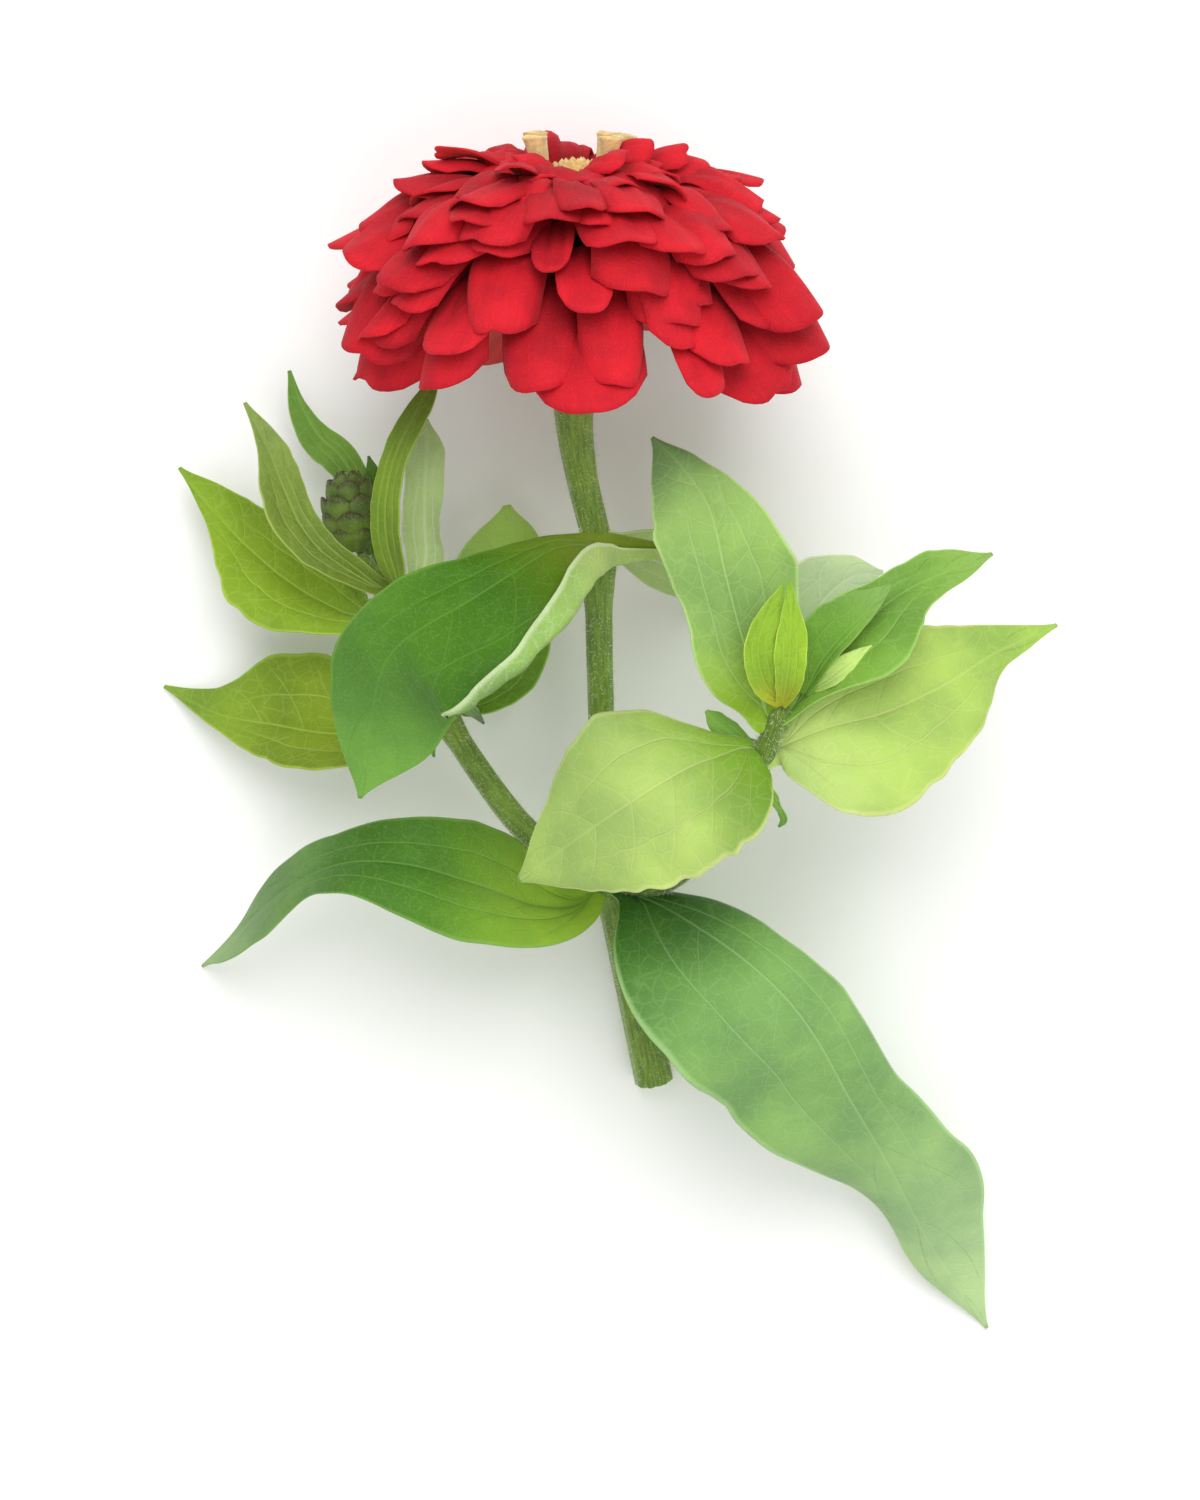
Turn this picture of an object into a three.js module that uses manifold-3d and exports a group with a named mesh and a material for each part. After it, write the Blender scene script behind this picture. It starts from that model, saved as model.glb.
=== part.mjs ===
// A zinnia flower as picked: one red double bloom on its leafy stem, cut just above a leaf joint
// and laid down on its side. Two side shoots grow from the stem's lower leaf joint, one with a bud.
//
// Millimetres. +Y runs along the stem from the cut end to the bloom, +X is to the right seen from
// above, +Z is up from the surface that the flower lies on, and the surface is z = 0. The origin is
// on that surface, below the middle of the flower.
//
// The bloom and the bud are modelled upright in frames of their own and laid down by their groups.
// Every leaf is modelled round the point where it leaves its stem.

import * as THREE from "three";
import { mergeVertices } from "three/addons/utils/BufferGeometryUtils.js";
import Module from "manifold-3d";

// ---------------------------------------------------------------- driving dimensions

const ORIGIN = [0.8, 1.3, 0]; // the middle of the flower's footprint, in the drawing

const BLOOM_FOOT = [-3.8, 56, 32.8]; // where the neck of the stem meets the green cup
const BLOOM_TILT = 6; // degrees that the bloom looks up from level
const BLOOM_TURN = 1; // degrees that the bloom leans to the right

const NECK_RADIUS = 3.4;
const CUP_RADIUS = 9.2; // green cup of bracts under the petals
const CUP_HEIGHT = 11.5;
const RECEPTACLE_TOP = 25.5; // height of the cone that carries the petals
const DISC_RADIUS = 6.6; // centre with the yellow florets
const DISC_FLORETS = 13; // nine round the disc and four in its middle
const CLEARANCE = 0.35; // gap between neighbouring solids

const PETAL_THICKNESS = 0.8;
const LEAF_THICKNESS = 0.7;

const BUD_LENGTH = 13.5;
const BUD_SCALES = 6; // in each ring round the bud
const BUD_NOD = 2; // degrees that the bud hangs below level
const BUD_TURN = 5; // degrees that the bud leans to the left

// ---------------------------------------------------------------- small tools

const rad = THREE.MathUtils.degToRad;
const vector = (p) => new THREE.Vector3(p[0], p[1], p[2]);

const wasm = await Module();
wasm.setup();

// Seeded random numbers, so that every build is the same.
function seeded(seed) {
  let state = seed >>> 0;
  return () => {
    state = (state + 0x6d2b79f5) >>> 0;
    let t = Math.imul(state ^ (state >>> 15), 1 | state);
    t = (t + Math.imul(t ^ (t >>> 7), 61 | t)) ^ t;
    return ((t ^ (t >>> 14)) >>> 0) / 4294967296;
  };
}

// A value along a list of stops [[place, value], ...], in straight steps between them.
function along(stops, t) {
  const last = stops.length - 1;
  if (t <= stops[0][0]) return stops[0][1];
  if (t >= stops[last][0]) return stops[last][1];
  const i = stops.findIndex((stop) => stop[0] > t) - 1;
  const share = (t - stops[i][0]) / (stops[i + 1][0] - stops[i][0]);
  return THREE.MathUtils.lerp(stops[i][1], stops[i + 1][1], share);
}

// A value along an evenly spaced list.
function between(list, t) {
  const place = t * (list.length - 1);
  const i = Math.min(Math.floor(place), list.length - 2);
  if (list.length === 1) return list[0];
  return list[i] + (list[i + 1] - list[i]) * (place - i);
}

function curveThrough(points) {
  return new THREE.CatmullRomCurve3(points.map(vector), false, "catmullrom", 0.5);
}

function toManifold(geometry) {
  const bare = geometry.clone();
  bare.deleteAttribute("normal");
  bare.deleteAttribute("uv");
  const merged = mergeVertices(bare, 1e-4);
  return new wasm.Manifold(
    new wasm.Mesh({
      numProp: 3,
      vertProperties: new Float32Array(merged.attributes.position.array),
      triVerts: new Uint32Array(merged.index.array),
    }),
  );
}

function toGeometry(solid) {
  const mesh = solid.getMesh();
  return new THREE.BufferGeometry()
    .setAttribute("position", new THREE.BufferAttribute(mesh.vertProperties, 3))
    .setIndex(new THREE.BufferAttribute(mesh.triVerts, 1));
}

function joined(solids) {
  let group = solids;
  while (group.length > 1) {
    const next = [];
    for (let i = 0; i < group.length; i += 2) {
      next.push(i + 1 < group.length ? group[i].add(group[i + 1]) : group[i]);
    }
    group = next;
  }
  return group[0];
}

// The largest body of a solid: loose scraps left by a cut are dropped.
function mainBody(solid) {
  return solid.decompose().sort((a, b) => b.volume() - a.volume())[0];
}

// ---------------------------------------------------------------- blades: petals and leaves

// A smooth value through an evenly spaced list.
function smooth(list, t) {
  const place = t * (list.length - 1);
  const i = Math.min(Math.floor(place), list.length - 2);
  const near = (k) => list[THREE.MathUtils.clamp(k, 0, list.length - 1)];
  const [p, q, r, s] = [near(i - 1), near(i), near(i + 1), near(i + 2)];
  const w = place - i;
  const start = (r - p) / 2;
  const end = (s - q) / 2;
  const square = 3 * (r - q) - 2 * start - end;
  const cube = 2 * (q - r) + start + end;
  return q + start * w + square * w ** 2 + cube * w ** 3;
}

// Half of a blade's cross-section, out to a share of its half width: how far it is across and up
// from the midrib there, and its slope. The slope goes from the fold to the edge angle.
const SECTION_STEPS = 8;
const NARROWEST = 0.2; // half width at a pointed tip
const WAVE_SHIFT = 2; // the right margin's waves run this far ahead of the left one's
function crossSection(halfWidth, fold, edge, curl, share) {
  let across = 0;
  let rise = 0;
  for (let k = 0; k < SECTION_STEPS; k++) {
    const slope = rad(fold + (edge - fold) * (((k + 0.5) / SECTION_STEPS) * share) ** curl);
    across += ((halfWidth * share) / SECTION_STEPS) * Math.cos(slope);
    rise += ((halfWidth * share) / SECTION_STEPS) * Math.sin(slope);
  }
  return { across, rise, slope: rad(fold + (edge - fold) * share ** curl) };
}

// A thin closed blade round a midrib. Both faces have the same triangles. Left and right are as
// seen from above the blade with its tip pointing away.
//   midrib: points from base to tip      facing: directions of the upper face, base to tip
//   left, right: half widths             leftEdge, rightEdge: degrees that the margins turn up
//   fold: degrees beside the midrib      curl: 1 bends evenly, more bends near the margin
//   wave: [height, count] of the margins' waves     floor: no point is lower than this
function bladeGeometry(blade) {
  const { rows, columns, thickness } = blade;
  const curve = curveThrough(blade.midrib);
  const lowest = (blade.floor ?? -Infinity) + thickness / 2;
  const [waveHeight, waveCount] = blade.wave ?? [0, 0];
  const place = blade.place;
  const back = place.clone().invert();
  const top = [];
  const bottom = [];
  for (let i = 0; i <= rows; i++) {
    const v = i / rows;
    const forward = curve.getTangentAt(v);
    const facing = vector([0, 1, 2].map((k) => between(blade.facing.map((f) => f[k]), v)));
    const normal = facing.addScaledVector(forward, -facing.dot(forward)).normalize();
    const side = new THREE.Vector3().crossVectors(forward, normal);
    for (let j = 0; j <= columns; j++) {
      const u = (2 * j) / columns - 1;
      const hand = Math.sign(u);
      const halfWidth = Math.max(smooth(hand < 0 ? blade.left : blade.right, v), NARROWEST);
      const edge = between(hand < 0 ? blade.leftEdge : blade.rightEdge, v);
      const fold = between(blade.fold, v);
      const section = crossSection(halfWidth, fold, edge, blade.curl ?? 1, Math.abs(u));
      const phase = 2 * Math.PI * waveCount * v + (hand > 0 ? WAVE_SHIFT : 0);
      const ripple = waveHeight * Math.sin(phase) * u * u;
      const middle = curve.getPointAt(v);
      middle.addScaledVector(side, hand * section.across);
      middle.addScaledVector(normal, section.rise + ripple * Math.sin(Math.PI * v));
      const out = normal.clone().multiplyScalar(Math.cos(section.slope));
      out.addScaledVector(side, -hand * Math.sin(section.slope));
      middle.applyMatrix4(place);
      out.transformDirection(place);
      if (middle.z < lowest) {
        if (middle.z < lowest - 0.1) out.set(0, 0, Math.sign(out.z) || 1);
        middle.z = lowest;
      }
      top.push(middle.clone().addScaledVector(out, thickness / 2).applyMatrix4(back));
      bottom.push(middle.clone().addScaledVector(out, -thickness / 2).applyMatrix4(back));
    }
  }
  const across = columns + 1;
  const under = top.length;
  const faces = [];
  for (let i = 0; i < rows; i++) {
    for (let j = 0; j < columns; j++) {
      const a = i * across + j;
      const b = a + 1;
      const c = a + across + 1;
      const d = a + across;
      const halves = j < columns / 2 ? [[a, b, d], [b, c, d]] : [[a, b, c], [a, c, d]];
      for (const [p, q, r] of halves) {
        faces.push(p, q, r, under + p, under + r, under + q);
      }
    }
  }
  const edge = (p, q) => faces.push(p, under + q, q, p, under + p, under + q);
  for (let j = 0; j < columns; j++) {
    edge(j, j + 1);
    edge(rows * across + j + 1, rows * across + j);
  }
  for (let i = 0; i < rows; i++) {
    edge((i + 1) * across, i * across);
    edge(i * across + columns, (i + 1) * across + columns);
  }
  return new THREE.BufferGeometry()
    .setFromPoints([...top, ...bottom])
    .setIndex(faces);
}

// A tapered stem along a curve. radii: [[place, radius], ...], place from 0 to 1.
function stemGeometry(points, radii, sides, steps) {
  const curve = curveThrough(points);
  const frames = curve.computeFrenetFrames(steps, false);
  const geometry = new THREE.CylinderGeometry(1, 1, 1, sides, steps, false);
  const position = geometry.attributes.position;
  for (let i = 0; i < position.count; i++) {
    const place = position.getY(i) + 0.5;
    const step = Math.round(place * steps);
    const radius = along(radii, place);
    const point = curve.getPointAt(step / steps);
    point.addScaledVector(frames.normals[step], position.getX(i) * radius);
    point.addScaledVector(frames.binormals[step], -position.getZ(i) * radius);
    position.setXYZ(i, point.x, point.y, point.z);
  }
  return geometry;
}

// ---------------------------------------------------------------- materials

const petalRed = new THREE.MeshStandardMaterial({ color: 0xc4142c, roughness: 0.7, metalness: 0 });
const floretYellow = new THREE.MeshStandardMaterial({ color: 0xe0b040, roughness: 0.7, metalness: 0 });
const bractGreen = new THREE.MeshStandardMaterial({ color: 0x4f6a2a, roughness: 0.7, metalness: 0 });
const stemGreen = new THREE.MeshStandardMaterial({ color: 0x6b8a3e, roughness: 0.65, metalness: 0 });
const leafGreen = new THREE.MeshStandardMaterial({ color: 0x4f8a2f, roughness: 0.6, metalness: 0 });
const youngGreen = new THREE.MeshStandardMaterial({ color: 0x9cc250, roughness: 0.6, metalness: 0 });

const flower = new THREE.Group();
flower.position.set(-ORIGIN[0], -ORIGIN[1], -ORIGIN[2]);

function addMesh(parent, name, geometry, material) {
  const mesh = new THREE.Mesh(geometry, material);
  mesh.name = name;
  parent.add(mesh);
  return mesh;
}

// ---------------------------------------------------------------- bloom

// A petal's half width along it, as shares of its widest: a narrow claw and a round blade.
const PETAL_OUTLINE = [0.14, 0.32, 0.7, 1, 1, 0.6];
const CLAW_SUNK = 3.5; // how far a petal's claw runs into the cone that carries it

// In the bloom's own frame +Z points out of its face and z = 0 is the foot of the green cup.
const bloom = new THREE.Group();
bloom.position.set(...BLOOM_FOOT);
bloom.rotation.set(rad(BLOOM_TILT - 90), 0, rad(-BLOOM_TURN), "ZXY");
flower.add(bloom);
bloom.updateMatrix();
const bloomPlace = bloom.matrix.clone();

// The rings of ray petals, from the lowest and outermost to the one round the disc.
// root and tip: [radius, height]; crown: the highest point of the petal's arch.
const PETAL_RINGS = [
  { count: 11, root: [7.6, 12.4], crown: [20, 13.5], tip: [34.2, -0.2], width: 6.2 },
  { count: 12, root: [7.4, 14.4], crown: [20, 17.2], tip: [34.6, 6.6], width: 6.0 },
  { count: 12, root: [7.2, 16.4], crown: [20, 20.4], tip: [34.2, 12.8], width: 5.9 },
  { count: 12, root: [6.9, 18.3], crown: [19, 23.4], tip: [33, 18.6], width: 5.7 },
  { count: 12, root: [6.6, 20.1], crown: [18, 26], tip: [30.8, 23.6], width: 5.4 },
  { count: 11, root: [6.2, 21.8], crown: [15, 27.8], tip: [27, 27.4], width: 4.9 },
  { count: 10, root: [5.8, 23.2], crown: [12.5, 28.4], tip: [21.6, 29.8], width: 4.2 },
  { count: 8, root: [5.4, 24.2], crown: [9.8, 28.6], tip: [16, 31.4], width: 3.4 },
];
const GOLDEN_TURN = 137.5; // degrees from one ring's first petal to the next's

function petalBlade(ring, level, index, random) {
  const jitter = (size) => (random() * 2 - 1) * size;
  const turn = rad(level * GOLDEN_TURN + (360 / ring.count) * index + jitter(5));
  const sway = jitter(1.6);
  const reach = 1 + jitter(0.05);
  const droop = jitter(1.3);
  const at = ([radius, height], share) => {
    const r = radius * (share > 0 ? reach : 1);
    return new THREE.Vector3(r, sway * share * share * 2, height + droop * share)
      .applyAxisAngle(new THREE.Vector3(0, 0, 1), turn);
  };
  const start = at(ring.root, 0);
  const crown = at(ring.crown, 0.5);
  const tip = at(ring.tip, 1);
  const outward = new THREE.Vector3(Math.cos(turn), Math.sin(turn), 0);
  const up = new THREE.Vector3(0, 0, 1);
  const roll = jitter(0.22);
  const rollSide = new THREE.Vector3(-Math.sin(turn), Math.cos(turn), 0).multiplyScalar(roll);
  const inward = start.clone().addScaledVector(outward, -CLAW_SUNK);
  const width = ring.width * (1 + jitter(0.1));
  const halfWidths = PETAL_OUTLINE.map((share) => share * width);
  return {
    midrib: [inward, start, crown, tip].map((p) => p.toArray()),
    facing: [up, up.clone().add(rollSide), up.clone().add(outward).add(rollSide)]
      .map((p) => p.toArray()),
    left: halfWidths,
    right: halfWidths,
    fold: [8, 2, -6],
    leftEdge: [20, -18 + jitter(14), -34 + jitter(20)],
    rightEdge: [20, -18 + jitter(14), -34 + jitter(20)],
    rows: level < 3 ? 4 : 3,
    columns: 2,
    thickness: PETAL_THICKNESS,
    place: bloomPlace,
  };
}

function receptacleGeometry() {
  const profile = [
    [0, CUP_HEIGHT - 3], [7.2, CUP_HEIGHT - 3], [8, CUP_HEIGHT + 1], [7.2, 18],
    [6.2, 23], [5, RECEPTACLE_TOP - 0.6], [0, RECEPTACLE_TOP],
  ];
  return new THREE.LatheGeometry(profile.map(([r, z]) => new THREE.Vector2(r, z)), 16)
    .rotateX(Math.PI / 2);
}

// A solid of revolution round the bloom's axis from a profile of [radius, height] points.
function latheManifold(profile, sides) {
  const points = profile.map(([r, z]) => new THREE.Vector2(r, z));
  return toManifold(new THREE.LatheGeometry(points, sides).rotateX(Math.PI / 2));
}

// The space that the cup, the neck and the disc need inside the petals.
function cupSpace() {
  const r = CUP_RADIUS + 1.1 + CLEARANCE;
  return latheManifold(
    [
      [0, -12], [r - 2, -12], [r, 4], [r, CUP_HEIGHT - 0.8], [7.4, CUP_HEIGHT + 0.2],
      [0, CUP_HEIGHT + 0.2],
    ],
    20,
  );
}

function discSpace() {
  const r = DISC_RADIUS + CLEARANCE;
  const foot = RECEPTACLE_TOP - 1.6;
  return latheManifold([[0, foot], [r - 2.4, foot], [r, foot + 4], [r + 3, 50], [0, 50]], 16);
}

// The space below the surface that the flower lies on: the lowest petals are pressed flat there.
function tableSpace() {
  const depth = 10;
  const slab = new THREE.BoxGeometry(200, 200, depth).translate(0, 0, -depth / 2);
  return toManifold(slab.applyMatrix4(bloomPlace.clone().invert()));
}

function rayPetals() {
  const random = seeded(11);
  const solids = [toManifold(receptacleGeometry())];
  PETAL_RINGS.forEach((ring, level) => {
    for (let index = 0; index < ring.count; index++) {
      solids.push(toManifold(bladeGeometry(petalBlade(ring, level, index, random))));
    }
  });
  const gaps = [cupSpace(), discSpace(), tableSpace()];
  return mainBody(gaps.reduce((petals, gap) => petals.subtract(gap), joined(solids)));
}

// A green bract: a squashed eight-sided scale that lies on the cup or the bud.
function bractManifold(length, width, thickness, radius, height, lean, turn) {
  const scale = new THREE.OctahedronGeometry(1, 0).scale(thickness, width, length);
  scale.rotateY(lean).translate(radius, 0, height).rotateZ(turn);
  return toManifold(scale);
}

function greenCup() {
  const rings = [
    { count: 8, height: 2.8, radius: 6.2, lean: 36 },
    { count: 9, height: 5.6, radius: 8.1, lean: 20 },
    { count: 9, height: 8.4, radius: 9.0, lean: 8 },
  ];
  const bracts = [
    latheManifold(
      [[0, 0.4], [NECK_RADIUS, 0.4], [5.6, 2.4], [7.6, 5], [8.6, 8], [8.8, CUP_HEIGHT - 0.6],
        [7.1, CUP_HEIGHT - 0.2], [7.1, CUP_HEIGHT - 3 - CLEARANCE], [0, CUP_HEIGHT - 3 - CLEARANCE]],
      12,
    ),
  ];
  rings.forEach((ring, level) => {
    for (let i = 0; i < ring.count; i++) {
      const turn = rad((360 / ring.count) * (i + level / 2));
      bracts.push(bractManifold(2.9, 2.6, 0.8, ring.radius, ring.height, rad(ring.lean), turn));
    }
  });
  return joined(bracts);
}

// The disc: a low dome with yellow star-mouthed florets standing round its middle.
function discFlorets() {
  const foot = RECEPTACLE_TOP + CLEARANCE;
  const dome = [
    [0, foot], [3.4, foot - 0.3], [DISC_RADIUS - 1, foot + 1.4], [4.2, foot + 3.4], [0, foot + 4.4],
  ];
  const parts = [latheManifold(dome, 12)];
  const random = seeded(5);
  const outer = 9;
  for (let i = 0; i < DISC_FLORETS; i++) {
    const ring = i < outer ? 4.4 : 1.7;
    const turn = rad(i < outer ? i * 40 : (i - outer) * 90 + 20);
    const height = 5.2 + random() * 1.6;
    const floret = new THREE.CylinderGeometry(1.25, 0.55, height, 5).rotateX(Math.PI / 2);
    floret.rotateY(rad(9)).translate(ring, 0, foot + 1.8 + height / 2).rotateZ(turn);
    parts.push(toManifold(floret));
  }
  return joined(parts);
}

addMesh(bloom, "ray_petals", toGeometry(rayPetals()), petalRed);
addMesh(bloom, "green_cup", toGeometry(greenCup()), bractGreen);
addMesh(bloom, "disc_florets", toGeometry(discFlorets()), floretYellow);

// ---------------------------------------------------------------- stems

// Each stem: the points that it runs through from its foot, and its radius along it.
const CUT_END = [8.1, -50, 2.9];
const LOWER_JOINT = [1.9, -19.5, 12.6];
const UPPER_JOINT = [-0.5, 31.6, 29];
const BUD_FOOT = [-35.9, 28.4, 16.4];

const MAIN_STEM = {
  points: [
    CUT_END, [5.6, -37.8, 6.8], [3.2, -26, 10.6], LOWER_JOINT, [0.6, -6, 17.2], [0.1, 10, 22.6],
    [-0.2, 24, 27], UPPER_JOINT, [-2.4, 40, 30.8], [-3.6, 48, 32], BLOOM_FOOT,
  ],
  radii: [
    [0, 2.9], [0.2, 2.8], [0.27, 2.8], [0.295, 3.2], [0.33, 2.2], [0.5, 1.9], [0.68, 2], [0.745, 2.8],
    [0.79, 2.2], [0.86, 2.3], [0.93, 2.7], [1, NECK_RADIUS],
  ],
  sides: 10,
  steps: 28,
};

const LEFT_SHOOT = {
  points: [
    LOWER_JOINT, [-3.5, -15.5, 13.4], [-11, -11.5, 15], [-20.5, 1.5, 17], [-24.5, 9.5, 17.5],
    [-28.5, 19.5, 17.8], [-33, 25.5, 17], BUD_FOOT,
  ],
  radii: [
    [0, 2.3], [0.15, 2], [0.5, 1.8], [0.58, 2.3], [0.66, 1.5], [0.8, 1.4], [0.86, 1.9], [0.93, 1.5],
    [1, 1.9],
  ],
  sides: 8,
  steps: 16,
};

const RIGHT_SHOOT = {
  points: [
    LOWER_JOINT, [9.5, -18.5, 20], [16.5, -12, 28], [21, -3.5, 34], [24, 2.5, 38], [26, 8.5, 41.5],
  ],
  radii: [[0, 2.2], [0.3, 1.8], [0.7, 1.6], [0.8, 2.1], [0.88, 1.5], [1, 1.4]],
  sides: 8,
  steps: 12,
};

// A stem, or the space that it takes with some extra all round.
function stemManifold(stem, extra) {
  const radii = stem.radii.map(([place, radius]) => [place, radius + extra]);
  const [beforeEnd, end] = stem.points.slice(-2).map(vector);
  end.addScaledVector(end.clone().sub(beforeEnd).normalize(), extra);
  const points = [...stem.points.slice(0, -1), end.toArray()];
  return toManifold(stemGeometry(points, radii, stem.sides, stem.steps));
}

const ALL_STEMS = [MAIN_STEM, LEFT_SHOOT, RIGHT_SHOOT];
const stem = joined(ALL_STEMS.map((part) => stemManifold(part, 0)));
const stemSpace = joined(ALL_STEMS.map((part) => stemManifold(part, CLEARANCE)));

addMesh(flower, "stem", toGeometry(mainBody(stem)), stemGreen);

// ---------------------------------------------------------------- leaves

// Each leaf starts at its stem and is cut back from it where it clasps it. Half widths are in
// millimetres at even steps from the base to the tip.
const LEAVES = [
  {
    name: "upper_front_leaf",
    midrib: [
      [1.8, 30.8, 31.8], [-2.4, 31.2, 35.6], [-6.7, 30.8, 40.4], [-12.5, 27.6, 45.5], [-18.6, 23.8, 48],
      [-24.1, 20.7, 48.5], [-28.9, 17.2, 47], [-31.4, 12.8, 44.5], [-33, 4.7, 40], [-34.6, -5.2, 36],
    ],
    facing: [[0.2, 0.6, 0.8], [0, 0.6, 0.8], [-0.1, 0.35, 0.95], [-0.2, 0.3, 0.95]],
    left: [4, 10.6, 15.4, 16.8, 16.2, 14.6, 12, 8.4, 0.3],
    right: [2.4, 2.4, 4.4, 6.8, 8.2, 8.6, 7.4, 4.8, 0.3],
    fold: [6, 2, 0],
    leftEdge: [60, 140, 150, 90, 4],
    rightEdge: [-10, -20, -20, -10],
    curl: 5,
    wave: [0.5, 2],
    columns: 6,
  },
  {
    name: "upper_rear_leaf",
    midrib: [
      [0.9, 31.2, 28], [3.6, 30.6, 24.6], [8.6, 28.4, 18.6], [16, 24.4, 11], [25, 19, 4.4],
      [34.4, 13, 0],
    ],
    facing: [[0.1, 0.8, -0.5], [0.2, 0.5, -0.8], [0.3, 0.6, -0.7]],
    left: [3, 6, 7, 7, 7, 7, 6, 4, 0.3],
    right: [3, 6, 8, 9.5, 9.6, 8.8, 7, 4.2, 0.3],
    fold: [10, 6, 0],
    leftEdge: [20, 15, 0],
    rightEdge: [20, 15, 0],
    wave: [0.7, 2],
  },
  {
    name: "lower_left_leaf",
    midrib: [
      [-0.8, -20.6, 13.6], [-4.1, -22.6, 17], [-9.8, -22, 21], [-18.2, -18.5, 26], [-28.4, -15.4, 29],
      [-37.9, -15.6, 27], [-46.7, -20.5, 18.6], [-53.8, -27.7, 8.4], [-59.4, -33.2, 0],
    ],
    facing: [[0, 0.75, 0.7], [0, 0.6, 0.8], [-0.2, 0.6, 0.8], [-0.5, 0.6, 0.6]],
    left: [2.4, 7.6, 10, 9.4, 6, 3.4, 4.8, 4, 0.3],
    right: [2.4, 9, 10, 7.6, 5.6, 5.6, 3.6, 1.6, 0.3],
    fold: [14, 14, 4],
    leftEdge: [-10, -20, -12],
    rightEdge: [16, 6, -14],
    wave: [0.8, 2.5],
  },
  {
    name: "lower_right_leaf",
    midrib: [
      [4.4, -20.8, 15.4], [7.4, -21.6, 19.4], [12.2, -23.7, 25], [19.7, -28.2, 31], [26.4, -33.9, 33.5],
      [31.6, -40.9, 31], [36.6, -50.3, 25], [42.4, -60.6, 17], [48.8, -73.2, 8.6], [58.1, -87.8, 0],
    ],
    facing: [[0.1, 0.75, 0.7], [-0.1, 0.35, 0.95], [-0.2, 0.25, 0.95], [-0.3, 0.1, 0.95]],
    left: [2.4, 6, 7.5, 8.5, 8, 9.8, 12, 6.6, 0.3],
    right: [2.4, 14, 18, 17.6, 15, 10.6, 5, 4.4, 0.3],
    fold: [8, 0, -6],
    leftEdge: [-20, -45, -30, -6],
    rightEdge: [-10, -10, -20, -40],
    wave: [0.9, 2],
  },
  {
    name: "right_inner_leaf",
    midrib: [
      [21.6, 2.4, 39], [17.9, 1.6, 41.4], [12, -0.6, 43.5], [4, -5.4, 44.5], [-3.2, -10.6, 41],
      [-11.6, -17.2, 34],
    ],
    facing: [[-0.2, 0.7, 0.7], [-0.1, 0.2, 1], [-0.35, -0.1, 0.95]],
    left: [6, 13.6, 14.6, 14.2, 13.2, 11.4, 8.4, 4.6, 0.6],
    right: [2.4, 6, 12, 14.4, 13.4, 11.2, 7.6, 3.8, 0.6],
    fold: [6, 0, -4],
    leftEdge: [-14, -20, -10],
    rightEdge: [-10, -20, -14],
    wave: [0.8, 2],
    young: true,
  },
  {
    name: "right_outer_leaf",
    midrib: [
      [25.4, 2.2, 37.4], [28.2, 3.4, 38.8], [32.9, 5.3, 39.6], [40.9, 7.3, 38.8], [49.7, 11.1, 35],
      [57.3, 15.3, 29], [66.5, 19.1, 24],
    ],
    facing: [[0.1, 0.5, 0.85], [0.1, 0.2, 0.95], [0.3, 0.5, 0.8]],
    left: [2, 5.8, 8.6, 10, 9.6, 8, 5.2, 2.6, 0.3],
    right: [3, 12.6, 14.8, 12.8, 10, 6.8, 3, 1.6, 0.3],
    fold: [10, 6, 2],
    leftEdge: [12, 10, 10],
    rightEdge: [2, -10, -10],
    wave: [0.8, 2],
    young: true,
  },
  {
    name: "right_upper_leaf",
    midrib: [
      [23.9, 7.4, 41], [22.4, 12, 43.2], [20.2, 18.7, 44.8], [17.8, 27.8, 45.4], [15.7, 36.6, 44],
      [12, 42.2, 41.4], [7.5, 46.7, 37.6],
    ],
    facing: [[-0.3, 0.1, 0.95], [0.1, 0.1, 1], [-0.2, 0.4, 0.9]],
    left: [3.2, 6.6, 7.4, 7, 8, 8.8, 7.8, 4.8, 0.3],
    right: [1.8, 5, 7.6, 9.6, 10, 7.6, 4.4, 2.4, 0.3],
    fold: [14, 8, 4],
    leftEdge: [10, 2, -12],
    rightEdge: [10, 6, -12],
    wave: [0.7, 1.5],
    young: true,
  },
  {
    name: "right_side_leaf",
    midrib: [
      [27.4, 8, 41], [29.6, 11.8, 42.6], [33, 16.2, 43.2], [38.7, 21.1, 42], [44.7, 25.2, 38],
      [56.6, 29.8, 32],
    ],
    facing: [[-0.2, 0.2, 0.95], [-0.3, 0.1, 0.95], [-0.1, 0.5, 0.85]],
    left: [1.6, 3.4, 5.8, 6, 4.6, 3.8, 3.8, 2.4, 0.3],
    right: [1.6, 4, 7.6, 9.6, 7.4, 4.8, 3.2, 2, 0.3],
    fold: [26, 24, 14],
    leftEdge: [30, 34, 10],
    rightEdge: [24, 10, -16],
    wave: [0.7, 1.5],
    young: true,
  },
  {
    name: "right_rear_leaf",
    midrib: [
      [26.6, 8.8, 37.2], [27.5, 11.4, 34.4], [29.2, 16.6, 30.4], [32.2, 22.6, 27], [36.4, 26, 24.2],
      [41.2, 26.8, 22.4],
    ],
    facing: [[0, 0.4, 0.9], [0.1, 0.1, 1], [0.3, 0.3, 0.9]],
    left: [1.4, 3, 4.8, 6.4, 7.6, 7, 5.2, 2.8, 0.3],
    right: [1.4, 2.6, 4, 5.4, 6, 5.6, 4.4, 2.6, 0.3],
    fold: [16, 10, 4],
    leftEdge: [20, 10, 0],
    rightEdge: [20, 10, 0],
    young: true,
  },
  {
    name: "left_outer_leaf",
    midrib: [
      [-24.2, 5.4, 17], [-27, 4.2, 16.4], [-31.5, 2.9, 14.5], [-39.9, 2.4, 11.6], [-48, 3.4, 8],
      [-56.8, 4.8, 4], [-65, 8.7, 0],
    ],
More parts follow.
